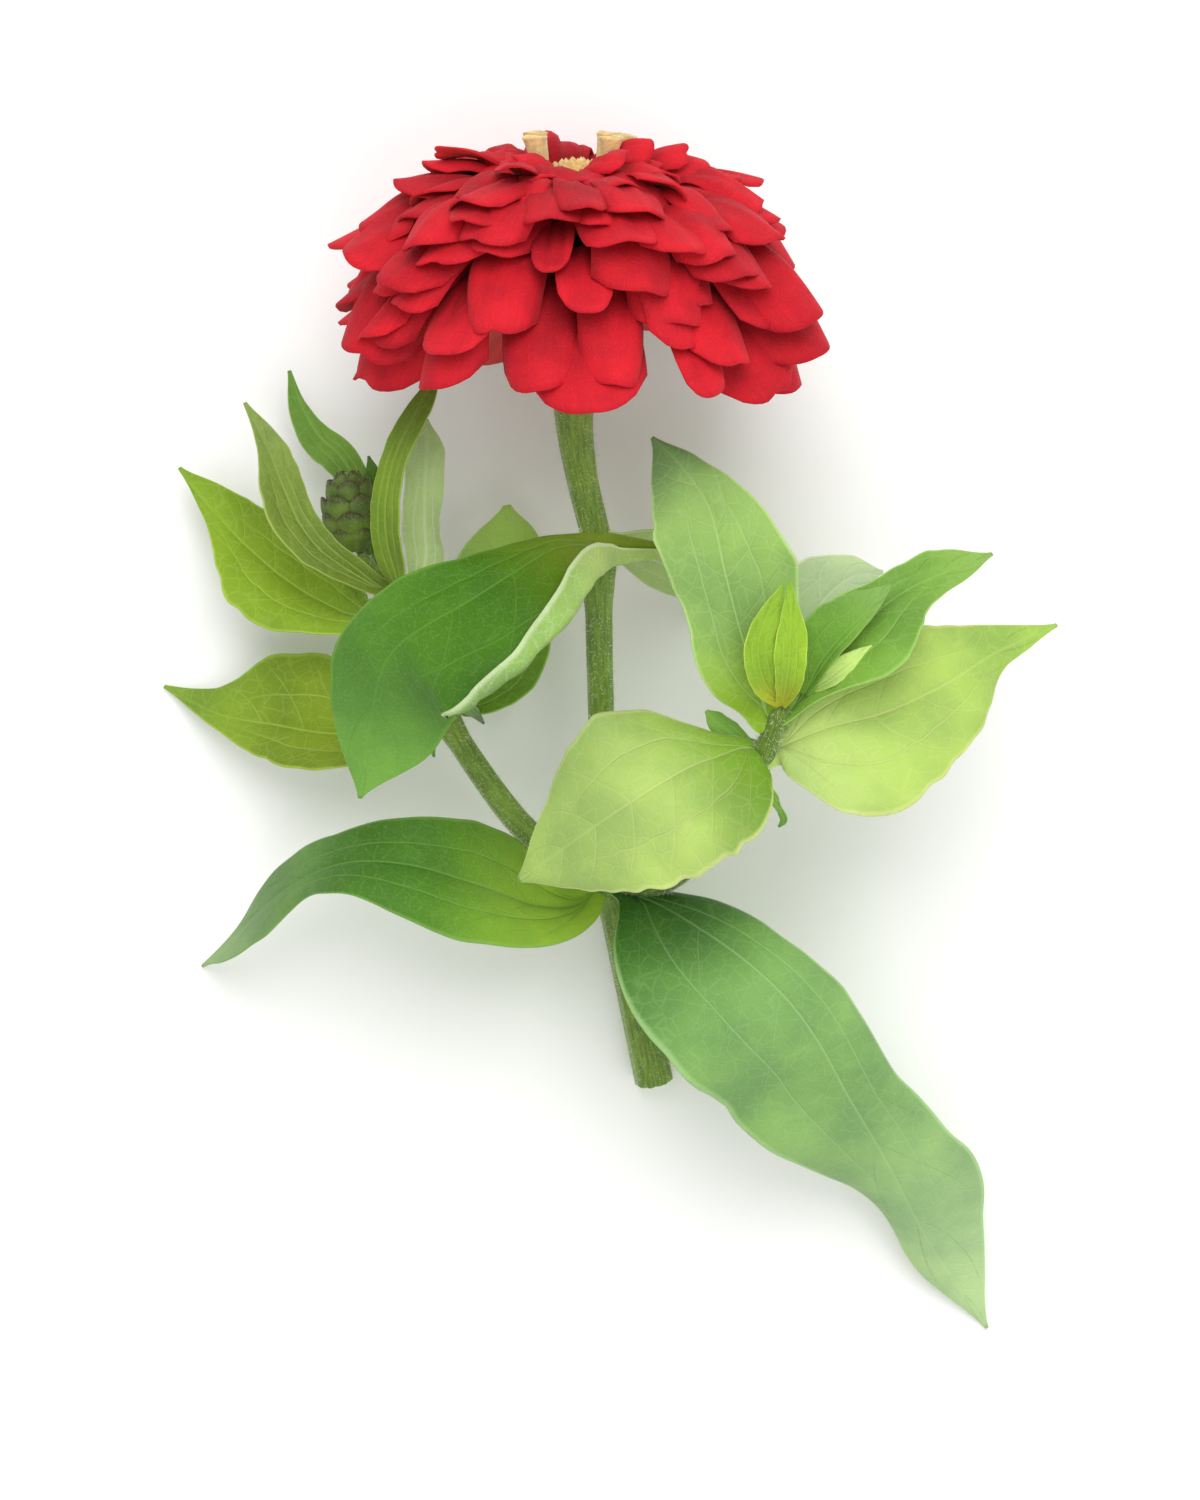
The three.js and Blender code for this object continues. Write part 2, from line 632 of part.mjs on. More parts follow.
    facing: [[-0.2, 0.6, 0.8], [0, 0.45, 0.9], [0, 0.3, 0.95]],
    left: [2.2, 6.4, 8, 8.2, 7.4, 5.4, 2.8, 1.2, 0.3],
    right: [2.2, 7, 10, 11.2, 11.2, 9.8, 6, 2.6, 0.3],
    fold: [20, 20, 8],
    leftEdge: [30, 24, 0],
    rightEdge: [26, 20, 0],
    wave: [0.8, 1.5],
  },
  {
    name: "left_inner_leaf",
    midrib: [
      [-21.4, 6.6, 16.4], [-19.6, 6.9, 15.2], [-16.7, 8.4, 13.2], [-13.2, 12, 11.4], [-11.6, 17.4, 10.2],
      [-12, 26.2, 8.4], [-13.8, 35.9, 6],
    ],
    facing: [[0.1, 0.5, 0.85], [-0.1, 0.3, 0.95], [0.1, 0.3, 0.95]],
    left: [1.8, 3.6, 6.4, 8.4, 9.4, 10, 9.8, 7, 0.6],
    right: [1.8, 3.2, 4.4, 4.8, 4.6, 4.4, 4.2, 3.4, 0.6],
    fold: [14, 8, 4],
    leftEdge: [14, 8, -4],
    rightEdge: [14, 8, -4],
  },
  {
    name: "bud_left_leaf",
    midrib: [
      [-32.2, 21.4, 16.2], [-34.2, 20.2, 15], [-38, 20.6, 13.4], [-45.1, 24.3, 11.6], [-50.9, 28.8, 9.6],
      [-56.6, 34.3, 7.6], [-62.3, 41.4, 5],
    ],
    facing: [[0.1, 0.5, 0.85], [0.3, 0.3, 0.9], [0.2, 0.4, 0.9]],
    left: [1.6, 4, 6.4, 8.2, 8.4, 5.8, 2.4, 0.8, 0.3],
    right: [1.6, 4.4, 6.2, 6.8, 6.8, 6.5, 5.6, 3, 0.3],
    fold: [14, 10, 6],
    leftEdge: [6, -8, -14],
    rightEdge: [24, 14, 0],
    wave: [0.7, 2],
    young: true,
  },
  {
    name: "bud_narrow_leaf",
    midrib: [
      [-31.6, 24.2, 19.4], [-34.1, 25.4, 21.4], [-40.3, 29.6, 22.6], [-43.8, 34, 22.8], [-46.3, 39.4, 22],
      [-48.8, 45.1, 20.6], [-51.9, 51.3, 18],
    ],
    facing: [[0.4, 0.1, 0.9], [0.4, 0, 0.9], [0.2, 0.3, 0.9]],
    left: [1.2, 2.2, 3, 4.2, 5.2, 4.2, 2, 0.8, 0.3],
    right: [1.2, 2.2, 2.6, 2.8, 2.8, 3.1, 3, 1.8, 0.3],
    fold: [24, 20, 8],
    leftEdge: [30, 20, 0],
    rightEdge: [34, 30, 6],
    young: true,
  },
  {
    name: "bud_rear_leaf",
    midrib: [
      [-33.6, 26.6, 13.6], [-34, 30.6, 10.4], [-34.7, 37, 9.4], [-38.3, 43.2, 9.6], [-41.6, 46.4, 9.4],
      [-44.1, 50.8, 8.6], [-45.9, 55.8, 7],
    ],
    facing: [[0.2, 0.1, 0.95], [0.2, 0.1, 0.95]],
    left: [1.2, 2.6, 3.2, 3, 2.8, 3.2, 2.7, 1.6, 0.3],
    right: [1.2, 2, 2.2, 2, 2.4, 2.2, 1.4, 0.6, 0.3],
    fold: [10, 6, 4],
    leftEdge: [14, 10, 0],
    rightEdge: [14, 10, 0],
  },
  {
    name: "bud_right_leaf",
    midrib: [
      [-29.2, 22.8, 19.8], [-29.6, 26, 23.6], [-31, 32.2, 25.6], [-30.9, 38.2, 26.4], [-29.5, 44.2, 26],
      [-26.9, 49.6, 24.2], [-23.4, 56, 21],
    ],
    facing: [[-0.6, 0, 0.8], [-0.6, 0, 0.8], [-0.4, 0, 0.9]],
    left: [1.2, 2.2, 2.6, 2.6, 2.4, 2.3, 2, 1.5, 0.3],
    right: [1.2, 2.2, 3, 3.2, 2.8, 2.5, 2.3, 1.8, 0.3],
    fold: [10, 6, 0],
    leftEdge: [10, 10, 0],
    rightEdge: [20, 16, 0],
  },
  {
    name: "bud_pale_leaf",
    midrib: [
      [-28.6, 22.2, 17.2], [-26.6, 24.6, 18], [-25.6, 29.3, 18.6], [-25.8, 34.7, 19], [-25.6, 40.5, 19],
      [-25.4, 44.3, 18.4], [-25.4, 48.9, 17],
    ],
    facing: [[-0.5, 0.1, -0.85], [-0.3, 0, -0.95], [-0.3, 0.1, -0.9]],
    left: [1.2, 2.6, 3.4, 2.8, 2.8, 3, 3.2, 2.6, 0.3],
    right: [1.2, 1.8, 2.6, 3.2, 3.1, 3, 3, 1.8, 0.3],
    fold: [10, 6, 4],
    leftEdge: [30, 20, 0],
    rightEdge: [20, 16, 0],
    young: true,
  },
];

const SMALL_LEAF = 7; // leaves with smaller half widths than this have fewer rows

function leafManifold(leaf, base) {
  const small = Math.max(...leaf.left, ...leaf.right) < SMALL_LEAF;
  const geometry = bladeGeometry({
    rows: small ? 8 : 12,
    columns: 4,
    thickness: LEAF_THICKNESS,
    floor: 0,
    place: new THREE.Matrix4().makeTranslation(base),
    ...leaf,
    midrib: leaf.midrib.map((point) => vector(point).sub(base).toArray()),
  });
  return toManifold(geometry).subtract(stemSpace.translate(-base.x, -base.y, -base.z));
}

for (const leaf of LEAVES) {
  const base = vector(leaf.midrib[0]);
  const material = leaf.young ? youngGreen : leafGreen;
  const mesh = addMesh(flower, leaf.name, toGeometry(mainBody(leafManifold(leaf, base))), material);
  mesh.position.copy(base);
}

// The youngest pair at the end of the right shoot, still joined at the base.
const TIP_LEAVES = [
  {
    midrib: [
      [25.8, 9, 43.6], [23.4, 12.4, 48.4], [22.4, 16.6, 51.2], [23.2, 21.2, 52.4], [25.9, 26.2, 51.6],
    ],
    facing: [[-0.1, -0.3, 1], [0.1, 0, 1], [0.2, 0, 1]],
    left: [1, 1.6, 2, 2.2, 2.2, 2, 1.4, 0.8, 0.3],
    right: [1, 1.6, 2.2, 2.6, 2.8, 2.6, 2.2, 1.4, 0.3],
    fold: [12, 12, 4],
    leftEdge: [20, 20, 0],
    rightEdge: [24, 20, 0],
  },
  {
    midrib: [
      [26, 9, 43.6], [26.4, 11.6, 47.8], [26.8, 15.6, 50.8], [27, 21, 52.8], [26.8, 26.8, 52.4],
    ],
    facing: [[0.1, -0.3, 1], [0.1, 0, 1], [0, 0, 1]],
    left: [1, 1.2, 1.6, 2, 2.4, 2.2, 1.6, 0.9, 0.3],
    right: [1, 1.6, 2.2, 2.5, 2.6, 2.4, 1.8, 0.9, 0.3],
    fold: [12, 12, 4],
    leftEdge: [20, 20, 0],
    rightEdge: [24, 20, 0],
  },
];
const tipBase = vector(TIP_LEAVES[0].midrib[0]);
const tipPair = joined(TIP_LEAVES.map((leaf) => leafManifold(leaf, tipBase)));
addMesh(flower, "tip_leaves", toGeometry(mainBody(tipPair)), youngGreen).position.copy(tipBase);

// ---------------------------------------------------------------- bud

// In the bud's own frame +Z points out of its tip and z = 0 is its foot.
const bud = new THREE.Group();
bud.position.set(...BUD_FOOT);
bud.rotation.set(rad(BUD_NOD - 90), 0, rad(BUD_TURN), "ZXY");
flower.add(bud);

// A closed green bud: an egg shape whose surface is raised into rings of overlapping round scales.
// Each ring: the height and radius of its foot and of its rim, which the scales' round tips wave.
const BUD_RINGS = [
  { foot: [1.3, 2.4], rim: [3.6, 3.9] },
  { foot: [3.3, 3.3], rim: [6, 4.3] },
  { foot: [5.9, 3.6], rim: [8.6, 4.1] },
  { foot: [8.5, 3.3], rim: [11, 3.2] },
  { foot: [10.7, 2.4], rim: [12.7, 1.8] },
];
const SCALE_ROUNDING = 0.6; // how far a scale's middle reaches past its corners

function budGeometry() {
  const rings = BUD_RINGS.flatMap(({ foot, rim }) => [[foot[1], foot[0]], [rim[1], rim[0]]]);
  const profile = [[0, BUD_RINGS[0].foot[0]], ...rings, [0, BUD_LENGTH]];
  const sides = BUD_SCALES * 3;
  const geometry = new THREE.LatheGeometry(profile.map(([r, z]) => new THREE.Vector2(r, z)), sides);
  const position = geometry.attributes.position;
  for (let i = 0; i < position.count; i++) {
    const level = (i % profile.length) / 2;
    const isRim = Number.isInteger(level) && level >= 1 && level <= BUD_RINGS.length;
    if (!isRim) continue;
    const turn = Math.atan2(position.getX(i), position.getZ(i)) * BUD_SCALES + level * Math.PI;
    position.setY(i, position.getY(i) + SCALE_ROUNDING * Math.cos(turn));
  }
  return geometry.rotateX(Math.PI / 2);
}

addMesh(bud, "bud", budGeometry(), bractGreen);

export default flower;
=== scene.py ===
# A red zinnia as picked, lying on a pale table: the double bloom on its leafy stem, cut above a leaf
# joint, with two side shoots, one of them with a bud. The pieces come in the order in which the plant
# carries them: stem, leaves, bud, green cup, disc, petals. The table, the light and the camera are last.

import math

import bpy
import numpy as np
from mathutils import Matrix, Vector


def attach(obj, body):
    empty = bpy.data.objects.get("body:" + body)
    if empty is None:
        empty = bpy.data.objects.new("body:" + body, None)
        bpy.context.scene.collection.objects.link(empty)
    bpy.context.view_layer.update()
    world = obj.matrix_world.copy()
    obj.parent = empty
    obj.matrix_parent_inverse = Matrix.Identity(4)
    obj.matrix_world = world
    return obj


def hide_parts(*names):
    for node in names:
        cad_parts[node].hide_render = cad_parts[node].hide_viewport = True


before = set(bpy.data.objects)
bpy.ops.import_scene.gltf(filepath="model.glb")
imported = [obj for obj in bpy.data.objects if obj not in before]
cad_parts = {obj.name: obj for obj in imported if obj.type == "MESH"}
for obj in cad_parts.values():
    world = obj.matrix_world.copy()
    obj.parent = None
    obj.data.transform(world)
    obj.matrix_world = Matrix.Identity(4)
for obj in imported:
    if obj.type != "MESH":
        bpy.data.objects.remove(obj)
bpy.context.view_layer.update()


# ---------------------------------------------------------------- stem
# The real stem is a ribbed green tube, swollen where leaves join it, and two side shoots branch from
# its lower joint. Each is a curve with a round section; they are fused, smoothed and cut off square.

MM = 0.001
MIDDLE = np.array([0.8, 1.3, 0.0])  # the middle of the flower's footprint, in the drawing

CUT_END = [8.1, -50, 2.9]
LOWER_JOINT = [1.9, -19.5, 12.6]
UPPER_JOINT = [-0.5, 31.6, 29]
BLOOM_FOOT = [-3.8, 56, 32.8]
BUD_FOOT = [-35.9, 28.4, 16.4]

# Points in mm, and radii in mm at shares of the length.
STEMS = {
    "main": {
        "points": [
            CUT_END, [5.6, -37.8, 6.8], [3.2, -26, 10.6], LOWER_JOINT, [0.6, -6, 17.2], [0.1, 10, 22.6],
            [-0.2, 24, 27], UPPER_JOINT, [-2.4, 40, 30.8], [-3.6, 48, 32], BLOOM_FOOT,
        ],
        "radii": [
            [0, 2.9], [0.2, 2.8], [0.27, 2.8], [0.295, 3.2], [0.33, 2.2], [0.5, 1.9], [0.68, 2],
            [0.745, 2.8], [0.79, 2.2], [0.86, 2.3], [0.93, 2.7], [1, 3.4],
        ],
    },
    "left": {
        "points": [
            LOWER_JOINT, [-3.5, -15.5, 13.4], [-11, -11.5, 15], [-20.5, 1.5, 17], [-24.5, 9.5, 17.5],
            [-28.5, 19.5, 17.8], [-33, 25.5, 17], BUD_FOOT,
        ],
        "radii": [
            [0, 2.3], [0.15, 2], [0.5, 1.8], [0.58, 2.3], [0.66, 1.5], [0.8, 1.4], [0.86, 1.9],
            [0.93, 1.5], [1, 1.9],
        ],
    },
    "right": {
        "points": [
            LOWER_JOINT, [9.5, -18.5, 20], [16.5, -12, 28], [21, -3.5, 34], [24, 2.5, 38],
            [26, 8.5, 41.5],
        ],
        "radii": [[0, 2.2], [0.3, 1.8], [0.7, 1.6], [0.8, 2.1], [0.88, 1.5], [1, 1.4]],
    },
}

SPARE_FOOT = 1.5  # the main stem starts this much low, and is then cut off square
TUBE_STEPS, MAP_STEPS = 90, 160  # points along each tube, and along each axis in the stem's map
STEM_VOXEL = 0.3
RIBS, RIB_HEIGHT = 9, 0.07
CUT_RIM, PITH_EDGE, PITH_DEPTH = 0.7, 0.4, 0.5  # the cut face's pale rim and its sunk pith
SHARP_EDGE = 50  # degrees


def unit(vectors):
    """Each row of an array, one long."""
    return vectors / np.linalg.norm(vectors, axis=-1, keepdims=True)


def smooth_step(before, here, there, after, share):
    """Goes smoothly from here to there, on the way from the value before to the value after."""
    leave, reach = (there - before) / 2, (after - here) / 2
    square = 3 * (there - here) - 2 * leave - reach
    cube = 2 * (here - there) + leave + reach
    return here + leave * share + square * share**2 + cube * share**3


class Curve:
    """A smooth curve through points, in mm. Its places run evenly from 0 at the point with the number
    first to 1 at the end."""

    def __init__(self, points, first=0):
        given = np.array(points, float)
        padded = np.vstack([2 * given[0] - given[1], given, 2 * given[-1] - given[-2]])
        share = np.linspace(0, 1, 40, endpoint=False)[:, None]
        runs = [smooth_step(*four, share) for four in zip(padded, padded[1:], padded[2:], padded[3:])]
        self.spots = np.vstack([*runs, given[-1:]])
        steps = np.linalg.norm(np.diff(self.spots, axis=0), axis=1)
        distance = np.concatenate([[0], np.cumsum(steps)])
        self.run = distance - distance[first * len(share)]
        self.length = self.run[-1]

    def at(self, places):
        run = np.asarray(places) * self.length
        spots = np.stack([np.interp(run, self.run, self.spots[:, k]) for k in range(3)], axis=-1)
        past = np.clip(run - self.length, 0, None)[..., None]
        return spots + past * unit(self.spots[-1] - self.spots[-2])

    def ahead(self, places):
        nudge = 0.004
        inside = np.clip(places, self.run[0] / self.length + nudge, 1 - nudge)
        return unit(self.at(inside + nudge) - self.at(inside - nudge))


def select_only(*objects):
    """Leaves only these objects selected, the first of them active."""
    bpy.ops.object.select_all(action="DESELECT")
    for item in objects:
        item.select_set(True)
    bpy.context.view_layer.objects.active = objects[0]


def apply_modifier(item, kind, **settings):
    select_only(item)
    modifier = item.modifiers.new(kind.lower(), kind)
    for name, value in settings.items():
        setattr(modifier, name, value)
    bpy.ops.object.modifier_apply(modifier=modifier.name)


def joined(name, pieces):
    """One object from several, with its place in its mesh."""
    select_only(*pieces)
    if len(pieces) > 1:
        bpy.ops.object.join()
    whole = bpy.context.object
    bpy.ops.object.transform_apply(location=True, rotation=True, scale=True)
    whole.name = name
    whole.data.name = name
    return whole


def positions(item):
    """An object's vertices as an array, in mm."""
    spots = np.empty(len(item.data.vertices) * 3)
    item.data.vertices.foreach_get("co", spots)
    return spots.reshape(-1, 3) / MM


def move_to(item, spots):
    """Sets an object's vertices from an array in mm."""
    item.data.vertices.foreach_set("co", (spots * MM).ravel())
    item.data.update()


def store(item, name, values):
    """Keeps three numbers for each vertex, for the material to read."""
    attribute = item.data.attributes.new(name, "FLOAT_VECTOR", "POINT")
    attribute.data.foreach_set("vector", np.ascontiguousarray(values, dtype=np.float32).ravel())


def edit_all(action="SELECT"):
    """Starts to edit the active object's mesh, with everything selected or nothing."""
    bpy.ops.object.mode_set(mode="EDIT")
    bpy.ops.mesh.select_all(action=action)


def stem_tube(points, radii, foot=0.0):
    """A round tube along a curve; foot lengthens its start."""
    curve = Curve(points)
    places = np.linspace(0, 1, TUBE_STEPS)
    spots = curve.at(places)
    if foot:
        start = spots[0] - curve.ahead([0.0])[0] * foot
        spots, places = np.vstack([start, spots]), np.concatenate([[0], places])
    bpy.ops.curve.primitive_nurbs_path_add()
    tube = bpy.context.object
    tube.data.splines.clear()
    line = tube.data.splines.new("POLY")
    line.points.add(len(spots) - 1)
    for point, spot, place in zip(line.points, (spots - MIDDLE) * MM, places):
        point.co = (*spot, 1)
        point.radius = np.interp(place, *np.array(radii).T)
    tube.data.bevel_depth = MM
    tube.data.bevel_resolution = 6
    tube.data.use_fill_caps = True
    bpy.ops.object.convert(target="MESH")
    return bpy.context.object


tubes = [stem_tube(foot=SPARE_FOOT if name == "main" else 0, **part) for name, part in STEMS.items()]
stem = joined("ribbed_stem", tubes)
apply_modifier(stem, "REMESH", mode="VOXEL", voxel_size=STEM_VOXEL * MM)
apply_modifier(stem, "SMOOTH", factor=0.5, iterations=8)

cut_normal = Curve(STEMS["main"]["points"]).ahead([0.0])[0]
cut_place = (np.array(CUT_END) - MIDDLE) * MM
edit_all()
bpy.ops.mesh.bisect(plane_co=cut_place, plane_no=cut_normal, use_fill=True, clear_inner=True)
bpy.ops.object.mode_set(mode="OBJECT")


def stem_map(spots):
    """For points near the stems: the direction from the nearest stem's axis, and the turn round it
    and the way along it."""
    axis, ahead, run = [], [], []
    for part in STEMS.values():
        curve = Curve(part["points"])
        places = np.linspace(0, 1, MAP_STEPS)
        axis.append(curve.at(places))
        ahead.append(curve.ahead(places))
        run.append(places * curve.length)
    axis, ahead, run = np.vstack(axis) - MIDDLE, np.vstack(ahead), np.concatenate(run)
    nearest = [np.argmin(((spot - axis) ** 2).sum(-1)) for spot in spots]
    out = spots - axis[nearest]
    out -= ahead[nearest] * (out * ahead[nearest]).sum(-1, keepdims=True)
    across = unit(np.cross(ahead[nearest], [0.3, 0.2, 1.0]))
    upward = np.cross(ahead[nearest], across)
    turn = np.arctan2((out * upward).sum(-1), (out * across).sum(-1))
    return unit(out), turn, run[nearest]


stem_spots = positions(stem)
outward, turn, run = stem_map(stem_spots)
move_to(stem, stem_spots + outward * (RIB_HEIGHT * np.cos(RIBS * turn))[:, None])
store(stem, "stem_map", np.column_stack([np.cos(turn), np.sin(turn), run * 0.05]))

# The cut face gets a pale rim and a sunk pith.
edit_all("DESELECT")
bpy.ops.object.mode_set(mode="OBJECT")
cut_face = max(stem.data.polygons, key=lambda face: face.area)
cut_face.select = True
stem.data.materials.append(None)
stem.data.materials.append(None)
bpy.ops.object.mode_set(mode="EDIT")
stem.active_material_index = 1
bpy.ops.object.material_slot_assign()
bpy.ops.mesh.inset(thickness=CUT_RIM * MM, depth=0, use_even_offset=False)
bpy.ops.mesh.inset(thickness=PITH_EDGE * MM, depth=-PITH_DEPTH * MM, use_even_offset=False)
bpy.ops.object.mode_set(mode="OBJECT")
select_only(stem)
bpy.ops.object.shade_smooth_by_angle(angle=math.radians(SHARP_EDGE))


# The stem's finish: olive green, streaked along, with a greyish fuzz of short hairs.

def srgb(red, green, blue):
    """A colour as a picture editor gives it, 0 to 255, as the shader wants it."""
    def straight(level):
        level /= 255
        return level / 12.92 if level <= 0.04045 else ((level + 0.055) / 1.055) ** 2.4
    return (straight(red), straight(green), straight(blue), 1)


def connect(tree, value, socket):
    """Links a socket's value, or sets a plain one."""
    if isinstance(value, bpy.types.NodeSocket):
        tree.links.new(value, socket)
    else:
        socket.default_value = value


def node(tree, kind, inputs=(), **settings):
    """A shader node with its settings, and its inputs by number or by name."""
    made = tree.nodes.new(f"ShaderNode{kind}")
    for name, value in settings.items():
        setattr(made, name, value)
    for key, value in dict(inputs).items():
        connect(tree, value, made.inputs[key])
    return made


def calculate(tree, operation, *values):
    return node(tree, "Math", enumerate(values), operation=operation).outputs[0]


def fade(tree, value, low, high, start=0.0, end=1.0):
    """Goes softly from start to end while the value goes from low to high."""
    given = enumerate((value, low, high, start, end))
    return node(tree, "MapRange", given, interpolation_type="SMOOTHSTEP").outputs[0]


def mix(tree, factor, first, second, blend="MIX"):
    given = {0: factor, 6: first, 7: second}
    return node(tree, "Mix", given, data_type="RGBA", blend_type=blend).outputs[2]


def noise(tree, place, scale, detail=2.0):
    return node(tree, "TexNoise", {"Vector": place, "Scale": scale, "Detail": detail}).outputs["Fac"]


def read(tree, name):
    return node(tree, "Attribute", attribute_name=name).outputs["Vector"]


def parts_of(tree, vector):
    return node(tree, "SeparateXYZ", {0: vector}).outputs


def new_group(name, inputs, outputs):
    """A shader node group. Inputs give each socket's kind and value, outputs its kind."""
    group = bpy.data.node_groups.new(name, "ShaderNodeTree")
    for label, (kind, value) in inputs.items():
        socket = group.interface.new_socket(label, in_out="INPUT", socket_type=f"NodeSocket{kind}")
        socket.default_value = value
    for label, kind in outputs.items():
        group.interface.new_socket(label, in_out="OUTPUT", socket_type=f"NodeSocket{kind}")
    given = group.nodes.new("NodeGroupInput").outputs
    result = group.nodes.new("NodeGroupOutput").inputs
    return group, given, result


def placed(tree, group, **values):
    """A node group in a material, with its values; gives its outputs."""
    given = {label.replace("_", " ").capitalize(): value for label, value in values.items()}
    return node(tree, "Group", node_tree=group, inputs=given).outputs


def new_material(name, **shader_values):
    """A material with a Principled shader; gives the material, its tree and the shader's inputs."""
    material = bpy.data.materials.new(name)
    material.use_nodes = True
    tree = material.node_tree
    shader = tree.nodes["Principled BSDF"].inputs
    for label, value in shader_values.items():
        shader[label.replace("_", " ")].default_value = value
    return material, tree, shader


def bump(tree, height, relief, shader):
    """Raises the surface by a height of 0 to 1 times a relief in mm."""
    made = node(tree, "Bump", {"Height": height, "Distance": relief * MM})
    tree.links.new(made.outputs[0], shader["Normal"])


# Soft uneven colour and fine fuzz, which every green part and the petals share.
plant_skin, given, result = new_group(
    "plant_skin",
    {"Colour": ("Color", (0, 0, 0, 1)), "Patch size": ("Float", 8.0), "Patches": ("Float", 0.3),
     "Fuzz": ("Float", 0.2), "Fuzz colour": ("Color", srgb(225, 235, 205))},
    {"Colour": "Color", "Height": "Float"},
)
skin_place = node(plant_skin, "TexCoord").outputs["Object"]
patch_scale = calculate(plant_skin, "DIVIDE", 1000.0, given["Patch size"])
patch = fade(plant_skin, noise(plant_skin, skin_place, patch_scale, 3.0), 0.32, 0.68, -0.5, 0.5)
strength = calculate(plant_skin, "MULTIPLY", patch, given["Patches"])
YELLOWING = (1.2, 1.0, 0.6)  # the patches change red most and blue least
shades = [calculate(plant_skin, "MULTIPLY_ADD", strength, share, 1.0) for share in YELLOWING]
shade = node(plant_skin, "CombineColor", enumerate(shades)).outputs[0]
uneven = mix(plant_skin, 1.0, given["Colour"], shade, "MULTIPLY")
grain = noise(plant_skin, skin_place, 3200.0, 1.0)
speck = calculate(plant_skin, "MULTIPLY", fade(plant_skin, grain, 0.5, 0.75), given["Fuzz"])
connect(plant_skin, mix(plant_skin, speck, uneven, given["Fuzz colour"]), result["Colour"])
connect(plant_skin, grain, result["Height"])


def covered(tree, shader, relief=0, **values):
    """Lays the shared skin over a material, raised by relief in mm."""
    skin_now = placed(tree, plant_skin, **values)
    connect(tree, skin_now["Colour"], shader["Base Color"])
    if relief:
        bump(tree, skin_now["Height"], relief, shader)
    return skin_now


stem_skin, tree, shader = new_material("stem_skin", Roughness=0.6, Sheen_Weight=0.45, Sheen_Roughness=0.35)
streaks = noise(tree, read(tree, "stem_map"), 7.0, 3.0)
streaked = mix(tree, fade(tree, streaks, 0.35, 0.65), srgb(88, 118, 22), srgb(116, 146, 40))
skin_now = covered(tree, shader, colour=streaked, patch_size=7.0, patches=0.3, fuzz=0.08)
bump(tree, calculate(tree, "ADD", skin_now["Height"], streaks), 0.12, shader)

cut_flesh, tree, shader = new_material("cut_flesh", Roughness=0.4)
covered(tree, shader, 0.1, colour=srgb(196, 214, 150), patch_size=1.2, patches=0.3, fuzz=0.3)


def settle(item, node_name=None):
    """Lets a finished piece ride on the part, in a solid's place if it has one there."""
    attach(item, "root")
    if node_name:
        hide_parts(node_name)


stem.data.materials[0] = stem_skin
stem.data.materials[1] = cut_flesh
settle(stem, "stem")


# ---------------------------------------------------------------- stem hairs
# The real stems and joints wear a fuzz of short white hairs that stand straight out. Each is a thin
# three-sided spike, modelled once and copied to seeded places on the stem.

HAIRS = 8000
HAIR_LENGTH = 0.9
HAIR_RADIUS = 0.03
HAIR_SUNK = 0.05

bpy.ops.object.select_all(action="DESELECT")
bpy.ops.mesh.primitive_cone_add(vertices=3, radius1=HAIR_RADIUS * MM, depth=HAIR_LENGTH * MM)
hair = bpy.context.object
spike = positions(hair) + [0, 0, HAIR_LENGTH / 2]
spike_faces = [list(face.vertices) for face in hair.data.polygons]


def furred(name, wearer, count, seed):
    """Copies of the spike all over a piece's sides, leaning at random and kept off the table."""
    random = np.random.RandomState(seed)
    faces = [face for face in wearer.data.polygons if face.material_index == 0]
    areas = np.array([face.area for face in faces])
    spots, polygons = [], []
    for index in random.choice(len(faces), count, p=areas / areas.sum()):
        face = faces[index]
        up = unit(np.array(face.normal) + random.normal(0, 0.3, 3))
        side = unit(np.cross(up, [0.3, 0.5, 0.8]))
        axes = np.array([side, np.cross(up, side), up * random.uniform(0.6, 1.2)])
        start = len(spots) * len(spike)
        spots.append(spike @ axes + np.array(face.center) / MM - up * HAIR_SUNK)
        polygons.extend([[start + corner for corner in corners] for corners in spike_faces])
    spots = np.maximum(np.vstack(spots), [-np.inf, -np.inf, HAIR_RADIUS])
    mesh = bpy.data.meshes.new(name)
    mesh.from_pydata((spots * MM).tolist(), [], polygons)
    fur = bpy.data.objects.new(name, mesh)
    bpy.context.scene.collection.objects.link(fur)
    return fur


hairs = furred("stem_hairs", stem, HAIRS, seed=3)
bpy.data.objects.remove(hair)

hair_white, tree, shader = new_material("hair_white", Roughness=0.5, Sheen_Weight=0.2)
covered(tree, shader, colour=srgb(222, 230, 198), patch_size=4.0, patches=0.3, fuzz=0.0)
hairs.data.materials.append(hair_white)
settle(hairs)


# ---------------------------------------------------------------- leaves
# Zinnia leaves sit in pairs without stalks, soft and rough-haired, with a strong midrib, two long side
# veins and a fine net. Each is a flat grid bent along its midrib, veined in relief and given thickness.
#   root: where the blade starts, in or behind its stem
#   midrib: points in mm, base to tip           facing: directions of the upper face, base to tip
#   left, right: half widths in mm              left_edge, right_edge: degrees that the margins turn up
#   fold: degrees beside the midrib             curl: 1 bends evenly, more bends near the margin
#   crease: where the left half folds over, as shares across, base to tip
#   wave: height in mm and count of the margins' waves
#   back: how far the blade runs on behind its base, as a share of its length
#   tones: the upper face's colours at the base, the middle and the tip, which hold painted light and shade
#   vein_strength: how clearly the veins show   young: whether it is still soft and yellowish
# A right side that isn't given is like the left one.

LEFT_JOINT = [-22.6, 5.4, 17.3]
BUD_JOINT = [-30.4, 22.4, 17.6]
RIGHT_JOINT = [23, 0.5, 37]
RIGHT_TIP_JOINT = [25, 5.6, 40]

